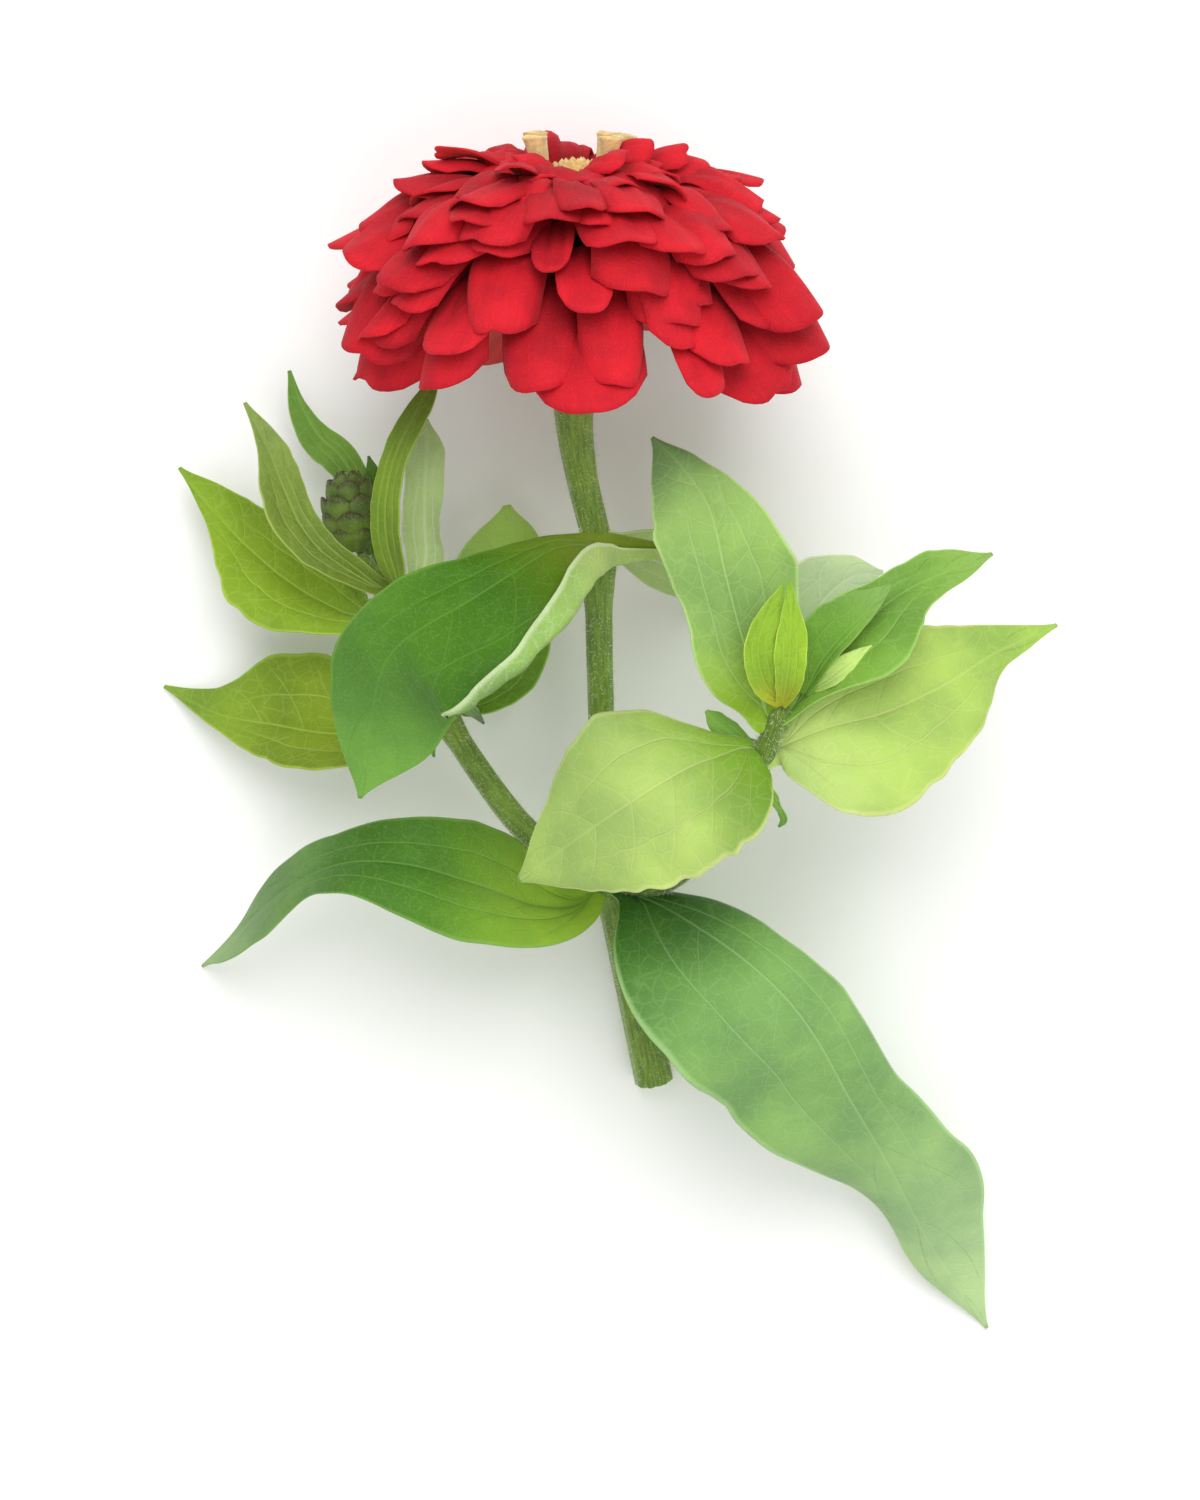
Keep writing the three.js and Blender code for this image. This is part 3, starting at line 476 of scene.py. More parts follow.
LEAVES = {}
LEAVES["upper_front_leaf"] = dict(
    root=[10.2, 30.4, 28.4], wave=[0.5, 2], curl=2, back=-0.13, vein_strength=0.38,
    midrib=[
        [1.8, 30.8, 31.8], [-2.4, 31.2, 35.6], [-6.7, 30.8, 40.4], [-12.5, 27.6, 45.5], [-18.6, 23.8, 48],
        [-24.1, 20.7, 48.5], [-28.9, 17.2, 47], [-31.4, 12.8, 44.5], [-33, 4.7, 40], [-34.6, -5.2, 36],
    ],
    facing=[[0.2, 0.6, 0.8], [0, 0.6, 0.8], [-0.1, 0.35, 0.95], [-0.2, 0.3, 0.95]],
    left=[6, 11.4, 15.4, 16.8, 16.2, 13.8, 11.6, 8.2, 0.3],
    right=[2.4, 2.4, 4.4, 6.8, 8.2, 8.6, 7.4, 4.8, 0.3],
    fold=[6, 2, 0], left_edge=[130, 150, 156, 150, 150], right_edge=[-10, -20, -20, -10],
    crease=[0.5, 0.52, 0.6, 0.72, 0.82, 0.92, 1, 1, 1],
    tones=[(122, 148, 30), (60, 110, 4), (106, 156, 62)],
)
LEAVES["upper_rear_leaf"] = dict(
    root=UPPER_JOINT, wave=[0.7, 2],
    midrib=[
        [0.9, 31.2, 28], [3.6, 30.6, 24.6], [8.6, 28.4, 18.6], [16, 24.4, 11], [25, 19, 4.4],
        [34.4, 13, 0],
    ],
    facing=[[0.1, 0.8, -0.5], [0.2, 0.5, -0.8], [0.3, 0.6, -0.7]],
    left=[3, 6, 7, 7, 7, 7, 6, 4, 0.3], right=[3, 6, 8, 9.5, 9.6, 8.8, 7, 4.2, 0.3],
    fold=[10, 6, 0], left_edge=[20, 15, 0],
    # The tones are lighter than the leaf's own, as painted light on its shaded face.
    tones=[(150, 176, 84), (140, 170, 76), (120, 156, 50)],
)
LEAVES["lower_left_leaf"] = dict(
    root=LOWER_JOINT, wave=[0.8, 2.5], vein_strength=0.42,
    midrib=[
        [-0.8, -20.6, 13.6], [-4.1, -22.6, 17], [-9.8, -22, 21], [-18.2, -18.5, 26], [-28.4, -15.4, 29],
        [-37.9, -15.6, 27], [-46.7, -20.5, 18.6], [-53.8, -27.7, 8.4], [-59.4, -33.2, 0],
    ],
    facing=[[0, 0.75, 0.7], [0, 0.6, 0.8], [-0.2, 0.6, 0.8], [-0.5, 0.6, 0.6]],
    left=[2.4, 7.6, 10, 9.4, 6, 3.4, 4.8, 4, 0.3], right=[2.4, 9, 10, 7.6, 5.6, 5.6, 3.6, 1.6, 0.3],
    fold=[14, 14, 4], left_edge=[-10, -20, -12], right_edge=[16, 6, -14],
    tones=[(158, 198, 56), (66, 114, 22), (136, 168, 108)],
)
LEAVES["lower_right_leaf"] = dict(
    root=LOWER_JOINT, wave=[0.9, 2], vein_strength=0.32,
    midrib=[
        [4.4, -20.8, 15.4], [7.4, -21.6, 19.4], [12.2, -23.7, 25], [19.7, -28.2, 31], [26.4, -33.9, 33.5],
        [31.6, -40.9, 31], [36.6, -50.3, 25], [42.4, -60.6, 17], [48.8, -73.2, 8.6], [58.1, -87.8, 0],
    ],
    facing=[[0.1, 0.75, 0.7], [-0.1, 0.35, 0.95], [-0.2, 0.25, 0.95], [-0.3, 0.1, 0.95]],
    left=[2.4, 6, 7.5, 8.5, 8, 9.8, 12, 6.6, 0.3], right=[2.4, 14, 18, 17.6, 15, 10.6, 5, 4.4, 0.3],
    fold=[8, 0, -6], left_edge=[-20, -45, -30, -6], right_edge=[-10, -10, -20, -40],
    tones=[(44, 100, 8), (122, 164, 90), (164, 194, 138)],
)
LEAVES["right_inner_leaf"] = dict(
    root=RIGHT_JOINT, wave=[0.8, 2], vein_strength=0.3, young=True,
    midrib=[
        [21.6, 2.4, 39], [17.9, 1.6, 41.4], [12, -0.6, 43.5], [4, -5.4, 44.5], [-3.2, -10.6, 41],
        [-11.6, -17.2, 34],
    ],
    facing=[[-0.2, 0.7, 0.7], [-0.1, 0.2, 1], [-0.35, -0.1, 0.95]],
    left=[6, 13.6, 14.6, 14.2, 13.2, 11.4, 8.4, 4.6, 0.6],
    right=[2.4, 6, 12, 14.4, 13.4, 11.2, 7.6, 3.8, 0.6],
    fold=[6, 0, -4], left_edge=[-14, -20, -10], right_edge=[-10, -20, -14],
    tones=[(102, 146, 22), (160, 188, 98), (154, 184, 94)],
)
LEAVES["right_outer_leaf"] = dict(
    root=RIGHT_JOINT, wave=[0.8, 2], young=True,
    midrib=[
        [25.4, 2.2, 37.4], [28.2, 3.4, 38.8], [32.9, 5.3, 39.6], [40.9, 7.3, 38.8], [49.7, 11.1, 35],
        [57.3, 15.3, 29], [66.5, 19.1, 24],
    ],
    facing=[[0.1, 0.5, 0.85], [0.1, 0.2, 0.95], [0.3, 0.5, 0.8]],
    left=[2, 5.8, 8.6, 10, 9.6, 8, 5.2, 2.6, 0.3], right=[3, 12.6, 14.8, 12.8, 10, 6.8, 3, 1.6, 0.3],
    fold=[10, 6, 2], left_edge=[12, 10, 10], right_edge=[2, -10, -10],
    tones=[(168, 194, 112), (158, 188, 90), (142, 178, 74)],
)
LEAVES["right_upper_leaf"] = dict(
    root=RIGHT_TIP_JOINT, wave=[0.7, 1.5], young=True,
    midrib=[
        [23.9, 7.4, 41], [22.4, 12, 43.2], [20.2, 18.7, 44.8], [17.8, 27.8, 45.4], [15.7, 36.6, 44],
        [12, 42.2, 41.4], [7.5, 46.7, 37.6],
    ],
    facing=[[-0.3, 0.1, 0.95], [0.1, 0.1, 1], [-0.2, 0.4, 0.9]],
    left=[3.2, 6.6, 7.4, 7, 8, 8.8, 7.8, 4.8, 0.3], right=[1.8, 5, 7.6, 9.6, 10, 7.6, 4.4, 2.4, 0.3],
    fold=[14, 8, 4], left_edge=[10, 2, -12], right_edge=[10, 6, -12],
    tones=[(128, 164, 32), (136, 174, 88), (116, 152, 88)],
)
LEAVES["right_side_leaf"] = dict(
    root=RIGHT_TIP_JOINT, wave=[0.7, 1.5], young=True,
    midrib=[
        [27.4, 8, 41], [29.6, 11.8, 42.6], [33, 16.2, 43.2], [38.7, 21.1, 42], [44.7, 25.2, 38],
        [56.6, 29.8, 32],
    ],
    facing=[[-0.2, 0.2, 0.95], [-0.3, 0.1, 0.95], [-0.1, 0.5, 0.85]],
    left=[1.6, 3.4, 5.8, 6, 4.6, 3.8, 3.8, 2.4, 0.3], right=[1.6, 4, 7.6, 9.6, 7.4, 4.8, 3.2, 2, 0.3],
    fold=[26, 24, 14], left_edge=[30, 34, 10], right_edge=[24, 10, -16],
    tones=[(122, 166, 54), (112, 158, 56), (120, 158, 72)],
)
LEAVES["right_rear_leaf"] = dict(
    root=RIGHT_TIP_JOINT, young=True,
    midrib=[
        [26.6, 8.8, 37.2], [27.5, 11.4, 34.4], [29.2, 16.6, 30.4], [32.2, 22.6, 27], [36.4, 26, 24.2],
        [41.2, 26.8, 22.4],
    ],
    facing=[[0, 0.4, 0.9], [0.1, 0.1, 1], [0.3, 0.3, 0.9]],
    left=[1.4, 3, 4.8, 6.4, 7.6, 7, 5.2, 2.8, 0.3], right=[1.4, 2.6, 4, 5.4, 6, 5.6, 4.4, 2.6, 0.3],
    fold=[16, 10, 4], left_edge=[20, 10, 0],
    # The pale grey-green is partly the leaf's hairs and partly a painted whitish sheen.
    tones=[(140, 172, 84), (176, 198, 140), (184, 204, 154)],
)
LEAVES["left_outer_leaf"] = dict(
    root=LEFT_JOINT, wave=[0.8, 1.5], vein_strength=0.6,
    midrib=[
        [-24.2, 5.4, 17], [-27, 4.2, 16.4], [-31.5, 2.9, 14.5], [-39.9, 2.4, 11.6], [-48, 3.4, 8],
        [-56.8, 4.8, 4], [-65, 8.7, 0],
    ],
    facing=[[-0.2, 0.6, 0.8], [0, 0.45, 0.9], [0, 0.3, 0.95]],
    left=[2.2, 6.4, 8, 8.2, 7.4, 5.4, 2.8, 1.2, 0.3], right=[2.2, 7, 10, 11.2, 11.2, 9.8, 6, 2.6, 0.3],
    fold=[20, 20, 8], left_edge=[30, 24, 0], right_edge=[26, 20, 0],
    tones=[(110, 136, 22), (116, 142, 26), (118, 150, 46)],
)
LEAVES["left_inner_leaf"] = dict(
    root=LEFT_JOINT,
    midrib=[
        [-21.4, 6.6, 16.4], [-19.6, 6.9, 15.2], [-16.7, 8.4, 13.2], [-13.2, 12, 11.4], [-11.6, 17.4, 10.2],
        [-12, 26.2, 8.4], [-13.8, 35.9, 6],
    ],
    facing=[[0.1, 0.5, 0.85], [-0.1, 0.3, 0.95], [0.1, 0.3, 0.95]],
    left=[1.8, 3.6, 6.4, 8.4, 9.4, 10, 9.8, 7, 0.6], right=[1.8, 3.2, 4.4, 4.8, 4.6, 4.4, 4.2, 3.4, 0.6],
    fold=[14, 8, 4], left_edge=[14, 8, -4],
    tones=[(92, 138, 22), (110, 156, 42), (154, 192, 92)],
)
LEAVES["bud_left_leaf"] = dict(
    root=BUD_JOINT, wave=[0.7, 2], vein_strength=0.62, young=True,
    midrib=[
        [-32.2, 21.4, 16.2], [-34.2, 20.2, 15], [-38, 20.6, 13.4], [-45.1, 24.3, 11.6], [-50.9, 28.8, 9.6],
        [-56.6, 34.3, 7.6], [-62.3, 41.4, 5],
    ],
    facing=[[0.1, 0.5, 0.85], [0.3, 0.3, 0.9], [0.2, 0.4, 0.9]],
    left=[1.6, 4, 6.4, 8.2, 8.4, 5.8, 2.4, 0.8, 0.3], right=[1.6, 4.4, 6.2, 6.8, 6.8, 6.5, 5.6, 3, 0.3],
    fold=[14, 10, 6], left_edge=[6, -8, -14], right_edge=[24, 14, 0],
    tones=[(130, 164, 42), (122, 154, 28), (112, 146, 28)],
)
LEAVES["bud_narrow_leaf"] = dict(
    root=BUD_JOINT, young=True,
    midrib=[
        [-31.6, 24.2, 19.4], [-34.1, 25.4, 21.4], [-40.3, 29.6, 22.6], [-43.8, 34, 22.8],
        [-46.3, 39.4, 22], [-48.8, 45.1, 20.6], [-51.9, 51.3, 18],
    ],
    facing=[[0.4, 0.1, 0.9], [0.4, 0, 0.9], [0.2, 0.3, 0.9]],
    left=[1.2, 2.2, 3, 4.2, 5.2, 4.2, 2, 0.8, 0.3], right=[1.2, 2.2, 2.6, 2.8, 2.8, 3.1, 3, 1.8, 0.3],
    fold=[24, 20, 8], left_edge=[30, 20, 0], right_edge=[34, 30, 6],
    tones=[(112, 138, 36), (116, 140, 48), (122, 146, 68)],
)
LEAVES["bud_rear_leaf"] = dict(
    root=[-33.2, 25.6, 16.9],
    midrib=[
        [-33.6, 26.6, 13.6], [-34, 30.6, 10.4], [-34.7, 37, 9.4], [-38.3, 43.2, 9.6], [-41.6, 46.4, 9.4],
        [-44.1, 50.8, 8.6], [-45.9, 55.8, 7],
    ],
    facing=[[0.2, 0.1, 0.95], [0.2, 0.1, 0.95]],
    left=[1.2, 2.6, 3.2, 3, 2.8, 3.2, 2.7, 1.6, 0.3], right=[1.2, 2, 2.2, 2, 2.4, 2.2, 1.4, 0.6, 0.3],
    fold=[10, 6, 4], left_edge=[14, 10, 0],
    tones=[(100, 140, 42), (108, 148, 54), (98, 142, 48)],
)
LEAVES["bud_right_leaf"] = dict(
    root=BUD_JOINT,
    midrib=[
        [-29.2, 22.8, 19.8], [-29.6, 26, 23.6], [-31, 32.2, 25.6], [-30.9, 38.2, 26.4], [-29.5, 44.2, 26],
        [-26.9, 49.6, 24.2], [-23.4, 56, 21],
    ],
    facing=[[-0.6, 0, 0.8], [-0.6, 0, 0.8], [-0.4, 0, 0.9]],
    left=[1.2, 2.2, 2.6, 2.6, 2.4, 2.3, 2, 1.5, 0.3], right=[1.2, 2.2, 3, 3.2, 2.8, 2.5, 2.3, 1.8, 0.3],
    fold=[10, 6, 0], left_edge=[10, 10, 0], right_edge=[20, 16, 0],
    tones=[(108, 134, 28), (114, 144, 34), (118, 150, 48)],
)
LEAVES["bud_pale_leaf"] = dict(
    root=BUD_JOINT, young=True,
    midrib=[
        [-28.6, 22.2, 17.2], [-26.6, 24.6, 18], [-25.6, 29.3, 18.6], [-25.8, 34.7, 19], [-25.6, 40.5, 19],
        [-25.4, 44.3, 18.4], [-25.4, 48.9, 17],
    ],
    facing=[[-0.5, 0.1, -0.85], [-0.3, 0, -0.95], [-0.3, 0.1, -0.9]],
    left=[1.2, 2.6, 3.4, 2.8, 2.8, 3, 3.2, 2.6, 0.3], right=[1.2, 1.8, 2.6, 3.2, 3.1, 3, 3, 1.8, 0.3],
    fold=[10, 6, 4], left_edge=[30, 20, 0], right_edge=[20, 16, 0],
    # The tones are lighter than the leaf's own, as painted light where it lies in shade.
    tones=[(150, 178, 98), (158, 186, 110), (160, 190, 114)],
)

LEAF_GRID = (44, 110)
LEAF_THICKNESS = 0.45
SIDE_VEIN_AT = 0.52  # share of the half width where the two long side veins run
VEIN_STEP = 0.155  # share of the leaf's length from one small side vein to the next
BASE_PLACE = -0.06  # the rows before the midrib's start run into the stem
MIDRIB_GROOVE, SIDE_GROOVE, SMALL_GROOVE = (0.7, 0.34), (0.7, 0.22), (0.8, 0.12)  # width, depth in mm
LUMPS, LUMP_SIZE = 25, 0.035  # how uneven a margin is, as a share of its half width
DENTS, DENT_DEPTH = 9, 0.5  # soft dents along the blade
CREASE_WIDTH = 0.14
NARROWEST = 0.12  # half width, in mm
LEAF_MARGIN = 0.45  # how thick the margin is, as a share of the middle


def spread(values, places):
    """Values along an evenly spaced list, in straight steps; each may be a number or a direction."""
    values = np.array(values, float)
    steps = np.linspace(0, 1, len(values))
    if values.ndim == 1:
        return np.interp(places, steps, values)
    return np.stack([np.interp(places, steps, values[:, k]) for k in range(3)], axis=-1)


def eased(values, places):
    """Values along an evenly spaced list, smoothly."""
    values = np.array(values, float)
    last = len(values) - 1
    spot = np.clip(places, 0, 1) * last
    step = np.minimum(spot.astype(int), last - 1)
    return smooth_step(*(values[np.clip(step + k, 0, last)] for k in (-1, 0, 1, 2)), spot - step)


def blade_surface(blade, curve, across, along):
    """Where a blade's points are, in mm, and their normals. Shares across run from -1 at the left
    margin to 1 at the right one, and along from 0 at the base to 1 at the tip."""
    hand, share = np.sign(across), np.abs(across)
    inside = np.clip(along, 0, 1)
    ahead = curve.ahead(along)
    facing = spread(blade["facing"], inside)
    normal = unit(facing - ahead * (facing * ahead).sum(-1, keepdims=True))
    side = np.cross(ahead, normal)
    half = np.where(hand < 0, eased(blade["left"], inside), eased(blade["right"], inside))
    half = np.maximum(half, NARROWEST)
    edge = np.where(hand < 0, spread(blade["left_edge"], inside), spread(blade["right_edge"], inside))
    half = half * np.clip(1 + along / 0.2, 0.4, 1)
    fold, curl, crease = spread(blade["fold"], inside), blade.get("curl", 1), blade.get("crease")

    def slope_at(reach):
        bend = reach**curl
        if crease:
            step = np.clip((reach - spread(crease, inside)) / CREASE_WIDTH, 0, 1)
            bend = np.where(hand < 0, step * step * (3 - 2 * step), bend)
        return np.radians(fold + (edge - fold) * bend)

    out, rise = np.zeros(len(share)), np.zeros(len(share))
    steps = 24 if crease else 8
    for k in range(steps):
        slope = slope_at((k + 0.5) / steps * share)
        out += half * share / steps * np.cos(slope)
        rise += half * share / steps * np.sin(slope)
    slope = slope_at(share)
    height, count = blade.get("wave", (0, 0))
    phase = 2 * np.pi * count * inside + np.where(hand > 0, 2, 0)
    rise += height * np.sin(phase) * share**2 * np.sin(np.pi * inside)
    spots = curve.at(along) + side * (hand * out)[:, None] + normal * rise[:, None]
    outward = normal * np.cos(slope)[:, None] - side * (hand * np.sin(slope))[:, None]
    return spots, outward, half


def flat_grid(columns, rows):
    """A square grid, and each of its vertices' shares across and along."""
    bpy.ops.object.select_all(action="DESELECT")
    bpy.ops.mesh.primitive_grid_add(x_subdivisions=columns, y_subdivisions=rows, size=2)
    grid = bpy.context.object
    grid.data.materials.append(None)
    grid.data.materials.append(None)
    shares = positions(grid) * MM
    return grid, shares[:, 0], (shares[:, 1] + 1) / 2


def thickened(item, thickness, margin, even=True):
    """Gives a sheet its thickness, which is only a share of it at the margins. The underside gets the
    next material."""
    maps = np.empty(len(item.data.vertices) * 3, dtype=np.float32)
    item.data.attributes["flat_map"].data.foreach_get("vector", maps)
    group = item.vertex_groups.new(name="thickness")
    for index, share in enumerate(maps[2::3]):
        group.add([index], float(1 - (1 - margin) * share**3), "REPLACE")
    apply_modifier(
        item, "SOLIDIFY", thickness=thickness * MM, offset=0, use_even_offset=even,
        vertex_group="thickness", material_offset=1, material_offset_rim=0,
    )
    item.vertex_groups.clear()


def uneven_margin(widths, random):
    """A margin's half widths in finer steps, slightly lumpy as on a real leaf."""
    places = np.linspace(0, 1, LUMPS)
    lumps = random.uniform(-1, 1, LUMPS) * LUMP_SIZE * np.sin(np.pi * places) ** 0.5
    return eased(widths, places) * (1 + lumps)


def groove(distance, width, depth):
    """How deep a vein lies at a distance from its middle."""
    return depth * np.exp(-((distance / width) ** 2))


def leaf_blade(leaf, seed, grid_size=LEAF_GRID):
    """One leaf's mesh. Its maps hold, for each point, the way across and along in mm and the share
    across; and the ways to the long side vein and to the small ones, and the place along."""
    random = np.random.RandomState(seed)
    leaf = {"right": leaf["left"], "right_edge": leaf["left_edge"], **leaf}
    for side in ("left", "right"):
        leaf[side] = uneven_margin(leaf[side], random)
    grid, across, row = flat_grid(*grid_size)
    curve = Curve([leaf["root"], *leaf["midrib"]], first=1)
    back = max(leaf.get("back", BASE_PLACE), curve.run[0] / curve.length)
    along = back + (1 - back) * row
    spots, normal, half = blade_surface(leaf, curve, across, along)
    share, inside = np.abs(across), np.clip(along, 0, 1)
    side_vein = SIDE_VEIN_AT * (1 - np.exp(-inside / 0.1)) * (1 - 0.5 * inside**2)
    to_side_vein = (share - side_vein) * half
    small_step = VEIN_STEP * curve.length
    to_small_vein = (inside - 0.2 * share**1.2) * curve.length
    nearest_small = np.abs((to_small_vein / small_step + 0.5) % 1 - 0.5) * small_step
    veins = groove(share * half, *MIDRIB_GROOVE) + groove(to_side_vein, *SIDE_GROOVE)
    veins += groove(nearest_small, *SMALL_GROOVE) * (1 - share**4)
    relief = -veins * np.clip(1 - inside, 0, 1) ** 0.7
    dent = eased(random.normal(0, 1, DENTS), inside)
    dent *= np.cos(np.pi * (across * 1.3 + random.uniform(-1, 1)))
    relief += DENT_DEPTH * dent * np.sin(np.pi * inside) * share
    relief *= np.clip(half / 5, 0.2, 1)
    spots += normal * relief[:, None]
    spots[:, 2] = np.maximum(spots[:, 2], LEAF_THICKNESS / 2)
    move_to(grid, spots - MIDDLE)
    store(grid, "flat_map", np.column_stack([across * half, along * curve.length, share]))
    store(grid, "vein_map", np.column_stack([to_side_vein, to_small_vein, inside]))
    thickened(grid, LEAF_THICKNESS, LEAF_MARGIN)
    return grid, small_step


# The veins, as lines of light colour and as relief, read from the leaf's own maps.
leaf_veins, given, result = new_group(
    "leaf_veins", {"Vein step": ("Float", 12.0)}, {"Veins": "Float", "Height": "Float", "Margin": "Float"}
)
flat_x, flat_y, flat_share = parts_of(leaf_veins, read(leaf_veins, "flat_map"))
to_side, to_small, place_along = parts_of(leaf_veins, read(leaf_veins, "vein_map"))


def vein_line(distance, width, strength):
    """A soft line where a vein runs."""
    line = fade(leaf_veins, calculate(leaf_veins, "ABSOLUTE", distance), 0.0, width, 1.0, 0.0)
    return calculate(leaf_veins, "MULTIPLY", line, strength)


def flat_place(tree, x, y):
    return node(tree, "CombineXYZ", {0: x, 1: y}).outputs[0]


midrib_line = vein_line(flat_x, 0.42, fade(leaf_veins, place_along, 0.25, 1.0, 1.0, 0.25))
side_line = vein_line(to_side, 0.3, fade(leaf_veins, place_along, 0.45, 0.8, 0.8, 0.0))
half_step = calculate(leaf_veins, "MULTIPLY", given["Vein step"], 0.5)
small_line = vein_line(calculate(leaf_veins, "PINGPONG", to_small, half_step), 0.3, 0.5)
away_from_margin = fade(leaf_veins, flat_share, 0.6, 0.95, 1.0, 0.0)
small_line = calculate(leaf_veins, "MULTIPLY", small_line, away_from_margin)
net_place = {"Vector": flat_place(leaf_veins, flat_x, flat_y), "Scale": 0.42}
net = node(leaf_veins, "TexVoronoi", net_place, feature="DISTANCE_TO_EDGE").outputs["Distance"]
strongest = fade(leaf_veins, net, 0.0, 0.08, 0.25, 0.0)
for line in (midrib_line, side_line, small_line):
    strongest = calculate(leaf_veins, "MAXIMUM", strongest, line)
connect(leaf_veins, strongest, result["Veins"])
connect(leaf_veins, calculate(leaf_veins, "SUBTRACT", 1.0, strongest), result["Height"])
# The margin's lighter line is partly the leaf's own pale rim and partly a painted edge highlight.
connect(leaf_veins, fade(leaf_veins, flat_share, 0.93, 0.995), result["Margin"])

LEAF_FINISH = dict(Roughness=0.6, Sheen_Weight=0.04, Subsurface_Weight=0.05, Subsurface_Scale=MM)
UNDERSIDE_GREY = (182, 206, 146)
UNDERSIDE_VEINS = (216, 228, 188)
LIGHTEST_VEIN = 225


def leaf_skin(name, tones, vein_step, vein_tone, vein_strength, fuzz):
    """A leaf's finish: tones from base to tip, lighter veins, and a pale margin that is partly a painted
    highlight.
    """
    material, tree, shader = new_material(name, Specular_IOR_Level=0.2, **LEAF_FINISH)
    base, middle, tip = (srgb(*tone) for tone in tones)
    place_along = parts_of(tree, read(tree, "vein_map"))[2]
    tone = mix(tree, fade(tree, place_along, 0.0, 0.4), base, middle)
    tone = mix(tree, fade(tree, place_along, 0.45, 1.0), tone, tip)
    skin_now = placed(tree, plant_skin, colour=tone, patch_size=15.0, patches=0.32, fuzz=fuzz)
    veins_now = placed(tree, leaf_veins, vein_step=vein_step)
    tone = skin_now["Colour"]
    # Veins and margin are lightened; the margin partly as a painted edge highlight.
    for part, strength in (("Veins", vein_strength), ("Margin", 0.6)):
        tone = mix(tree, calculate(tree, "MULTIPLY", veins_now[part], strength), tone, srgb(*vein_tone))
    connect(tree, tone, shader["Base Color"])
    bump(tree, calculate(tree, "MULTIPLY_ADD", skin_now["Height"], 0.25, veins_now["Height"]), 0.14, shader)
    return material


def lighter(tone, more):
    """The veins' tone on an upper face."""
    return tuple(min(level + more, LIGHTEST_VEIN) for level in tone)


def paler(tone):
    """A tone of the underside: greyer and lighter than the upper face's."""
    return tuple(0.45 * level + 0.55 * grey for level, grey in zip(tone, UNDERSIDE_GREY))


def smoothed(item):
    select_only(item)
    bpy.ops.object.shade_smooth()


def finish_leaf(item, name, leaf, vein_step):
    tones, strength = leaf["tones"], leaf.get("vein_strength", 0.4)
    item.data.materials[0] = leaf_skin(
        f"{name}_top", tones, vein_step, lighter(tones[1], 58), strength, 0.05
    )
    item.data.materials[1] = leaf_skin(
        f"{name}_underside", map(paler, tones), vein_step, UNDERSIDE_VEINS, 0.5, 0.14
    )
    smoothed(item)
    settle(item, name)


for seed, (name, leaf) in enumerate(LEAVES.items()):
    blade, vein_step = leaf_blade(leaf, seed)
    finish_leaf(joined(f"{name}_blade", [blade]), name, leaf, vein_step)


# ---------------------------------------------------------------- youngest leaves
# The youngest pair at the right shoot's tip is still small and upright, yellow at its joined base. Its
# two blades are made like the other leaves, on a common foot, and are one piece.

TIP_FOOT = [25.9, 8.4, 41.2]
TIP_FINISH = dict(tones=[(190, 186, 40), (146, 186, 44), (132, 174, 40)], vein_strength=0.22, young=True)
FIRST_TIP_SEED = 30
TIP_LEAVES = [
    dict(
        midrib=[
            [25.8, 9, 43.6], [23.4, 12.4, 48.4], [22.4, 16.6, 51.2], [23.2, 21.2, 52.4],
            [25.9, 26.2, 51.6],
        ],
        facing=[[-0.1, -0.3, 1], [0.1, 0, 1], [0.2, 0, 1]],
        left=[1, 1.6, 2, 2.2, 2.2, 2, 1.4, 0.8, 0.3], right=[1, 1.6, 2.2, 2.6, 2.8, 2.6, 2.2, 1.4, 0.3],
        fold=[12, 12, 4], left_edge=[20, 20, 0], right_edge=[24, 20, 0],
    ),
    dict(
        midrib=[[26, 9, 43.6], [26.4, 11.6, 47.8], [26.8, 15.6, 50.8], [27, 21, 52.8], [26.8, 26.8, 52.4]],
        facing=[[0.1, -0.3, 1], [0.1, 0, 1], [0, 0, 1]],
        left=[1, 1.2, 1.6, 2, 2.4, 2.2, 1.6, 0.9, 0.3], right=[1, 1.6, 2.2, 2.5, 2.6, 2.4, 1.8, 0.9, 0.3],
        fold=[12, 12, 4], left_edge=[20, 20, 0], right_edge=[24, 20, 0],
    ),
]
pair = []
for seed, leaf in enumerate(TIP_LEAVES, FIRST_TIP_SEED):
    blade, vein_step = leaf_blade({"root": TIP_FOOT, **leaf}, seed)
    pair.append(blade)
finish_leaf(joined("youngest_pair", pair), "tip_leaves", TIP_FINISH, vein_step)


# ---------------------------------------------------------------- small leaves
# Smaller leaves stand where others join: two in the right shoot's tip, and scraps and points beside
# the joints and the bud. They are made like the others, on coarser grids.

SMALL_GRID = (16, 36)
SMALL_FACING = [[0, 0.1, 1], [0, 0.1, 1]]
SMALL_SUNK = 0.6  # how far their bases run into the stems, as a share of the midrib's first stretch
SMALL_VEIN_STEP = 3.0
FIRST_SMALL_SEED = 40

